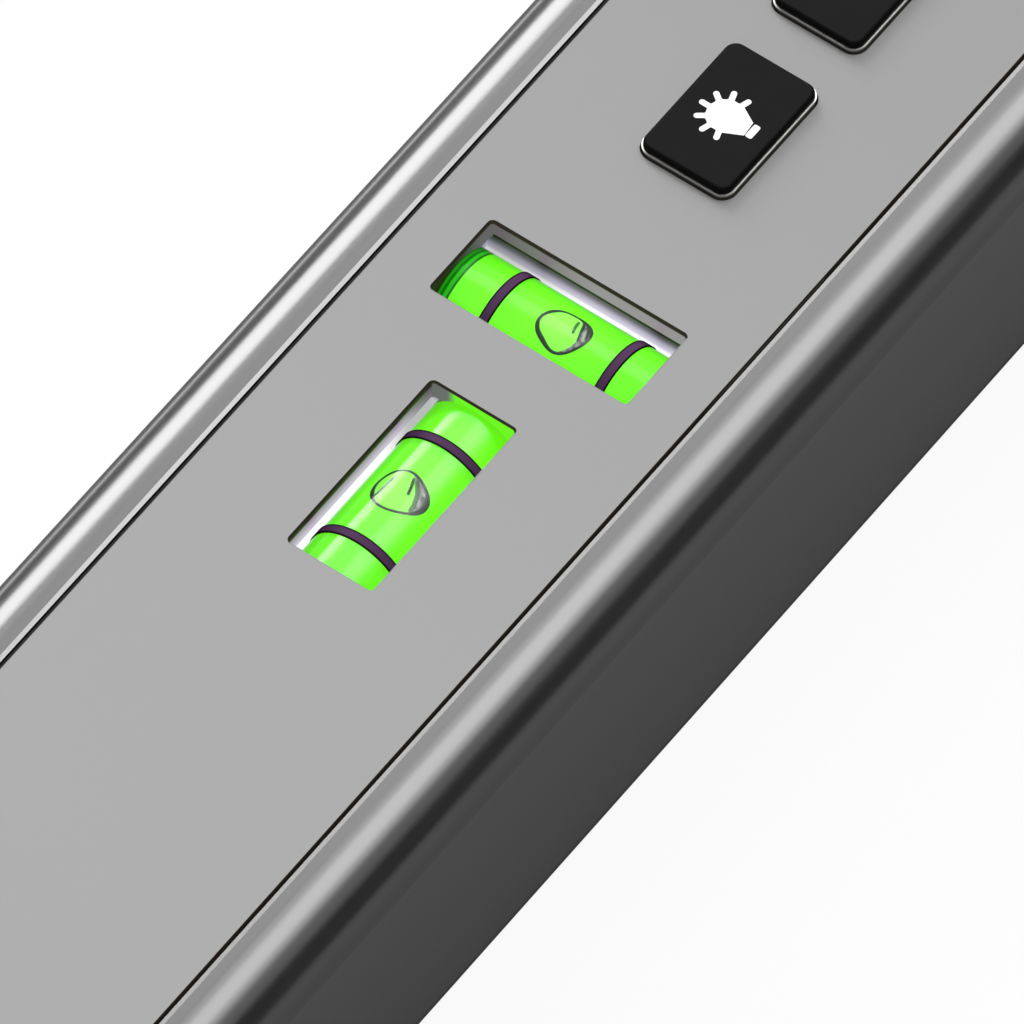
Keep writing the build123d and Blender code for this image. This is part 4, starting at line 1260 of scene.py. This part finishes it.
def print_icon(key, mesh, at, bars, first, step, inner, outer, width):
    """Add bars to an icon, in millimetres and degrees, lay it on its key and let it ride there."""
    piece = new_piece(f"{key}_icon", mesh)
    modifier = piece.modifiers.new("bars", "NODES")
    modifier.node_group = icon_bars
    sizes = {
        "Bars": bars,
        "First angle": math.radians(first),
        "Step angle": math.radians(step),
        "Inner radius": inner * MM,
        "Outer radius": outer * MM,
        "Bar width": width * MM,
        "Ink depth": BAR_INK,
        "Ink root": INK_ROOT,
        "Ink": ink,
    }
    sockets = {s.name: s.identifier for s in icon_bars.interface.items_tree if s.in_out == "INPUT"}
    for name, value in sizes.items():
        modifier[sockets[name]] = value
    evaluated = piece.evaluated_get(bpy.context.evaluated_depsgraph_get())
    plain = bpy.data.meshes.new_from_object(evaluated)
    piece.modifiers.remove(modifier)
    piece.data = plain
    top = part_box(key)[1].z
    centre = middle(key)
    plain.transform(Matrix.Translation((centre.x + at[0], centre.y + at[1], top)))
    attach(piece, key)
    print(piece.name, "has", len(plain.polygons), "faces")


# %% Lamp icon
# Lengths are in millimetres from the middle of the lamp's head, and angles in degrees.
HEAD = 1.75
RAYS, RAY_STEP, FIRST_RAY = 7, 36, -18
RAY_ROOT = 0.3
NECK_HALF, NECK_END, NECK_SLANT = 0.79, -2.45, 0.15
BASE_HALF, BASE_TOP, BASE_END, BASE_CORNER = 0.78, -2.64, -3.33, 0.2
CORNER_STEPS = 6
LAMP_AT = (-0.22 * MM, 0.27 * MM)

neck_reach = math.hypot(NECK_HALF, NECK_END)
tangent = math.degrees(math.atan2(NECK_END, NECK_HALF) + math.acos(HEAD / neck_reach))
lamp = bmesh.new()


def flared(spot):
    """Swell the head a little at the foot of each ray, so that the two meet in a fillet."""
    turn = math.atan2(spot[1], spot[0])
    off = math.radians(360 / RAY_STEP) * (math.degrees(turn) - FIRST_RAY)
    root = ((1 + math.cos(off)) / 2) ** 2
    return [c * (1 + RAY_ROOT * root / HEAD) for c in spot]


outline = [flared(spot) for spot in arc(HEAD, tangent, 180 - tangent, steps=4 * ARC_STEPS)]
fill_ink(lamp, outline + [(-NECK_HALF, NECK_END - NECK_SLANT), (NECK_HALF, NECK_END)])
inset, low, high = BASE_HALF - BASE_CORNER, BASE_END + BASE_CORNER, BASE_TOP - BASE_CORNER
corners = [((inset, low), -90), ((inset, high), 0), ((-inset, high), 90), ((-inset, low), 180)]
base = []
for centre, start in corners:
    base += arc(BASE_CORNER, start, start + 90, centre, CORNER_STEPS)
fill_ink(lamp, base)
rays = {"bars": RAYS, "first": FIRST_RAY, "step": RAY_STEP}
print_icon("light_key", lamp, LAMP_AT, **rays, inner=1.3, outer=2.78, width=0.56)

# %% Cross hair and on-off icons
cross = bmesh.new()
ring_ink_band(cross, inner=1.58, outer=1.95, start=0, end=360)
print_icon("line_key", cross, (0, 0), bars=4, first=0, step=90, inner=0.55, outer=2.6, width=0.42)
power = bmesh.new()
ring_ink_band(power, inner=1.55, outer=2.05, start=130, end=410)
print_icon("power_key", power, (0, 0), bars=1, first=90, step=0, inner=0.5, outer=2.45, width=0.5)

# %% [markdown]
# ## Finish
# The CAD box and the dressed object's box are both printed.

# %% Sizes and finish
low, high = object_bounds()
print("visual box in mm:", [round(side / MM, 2) for side in high - low])
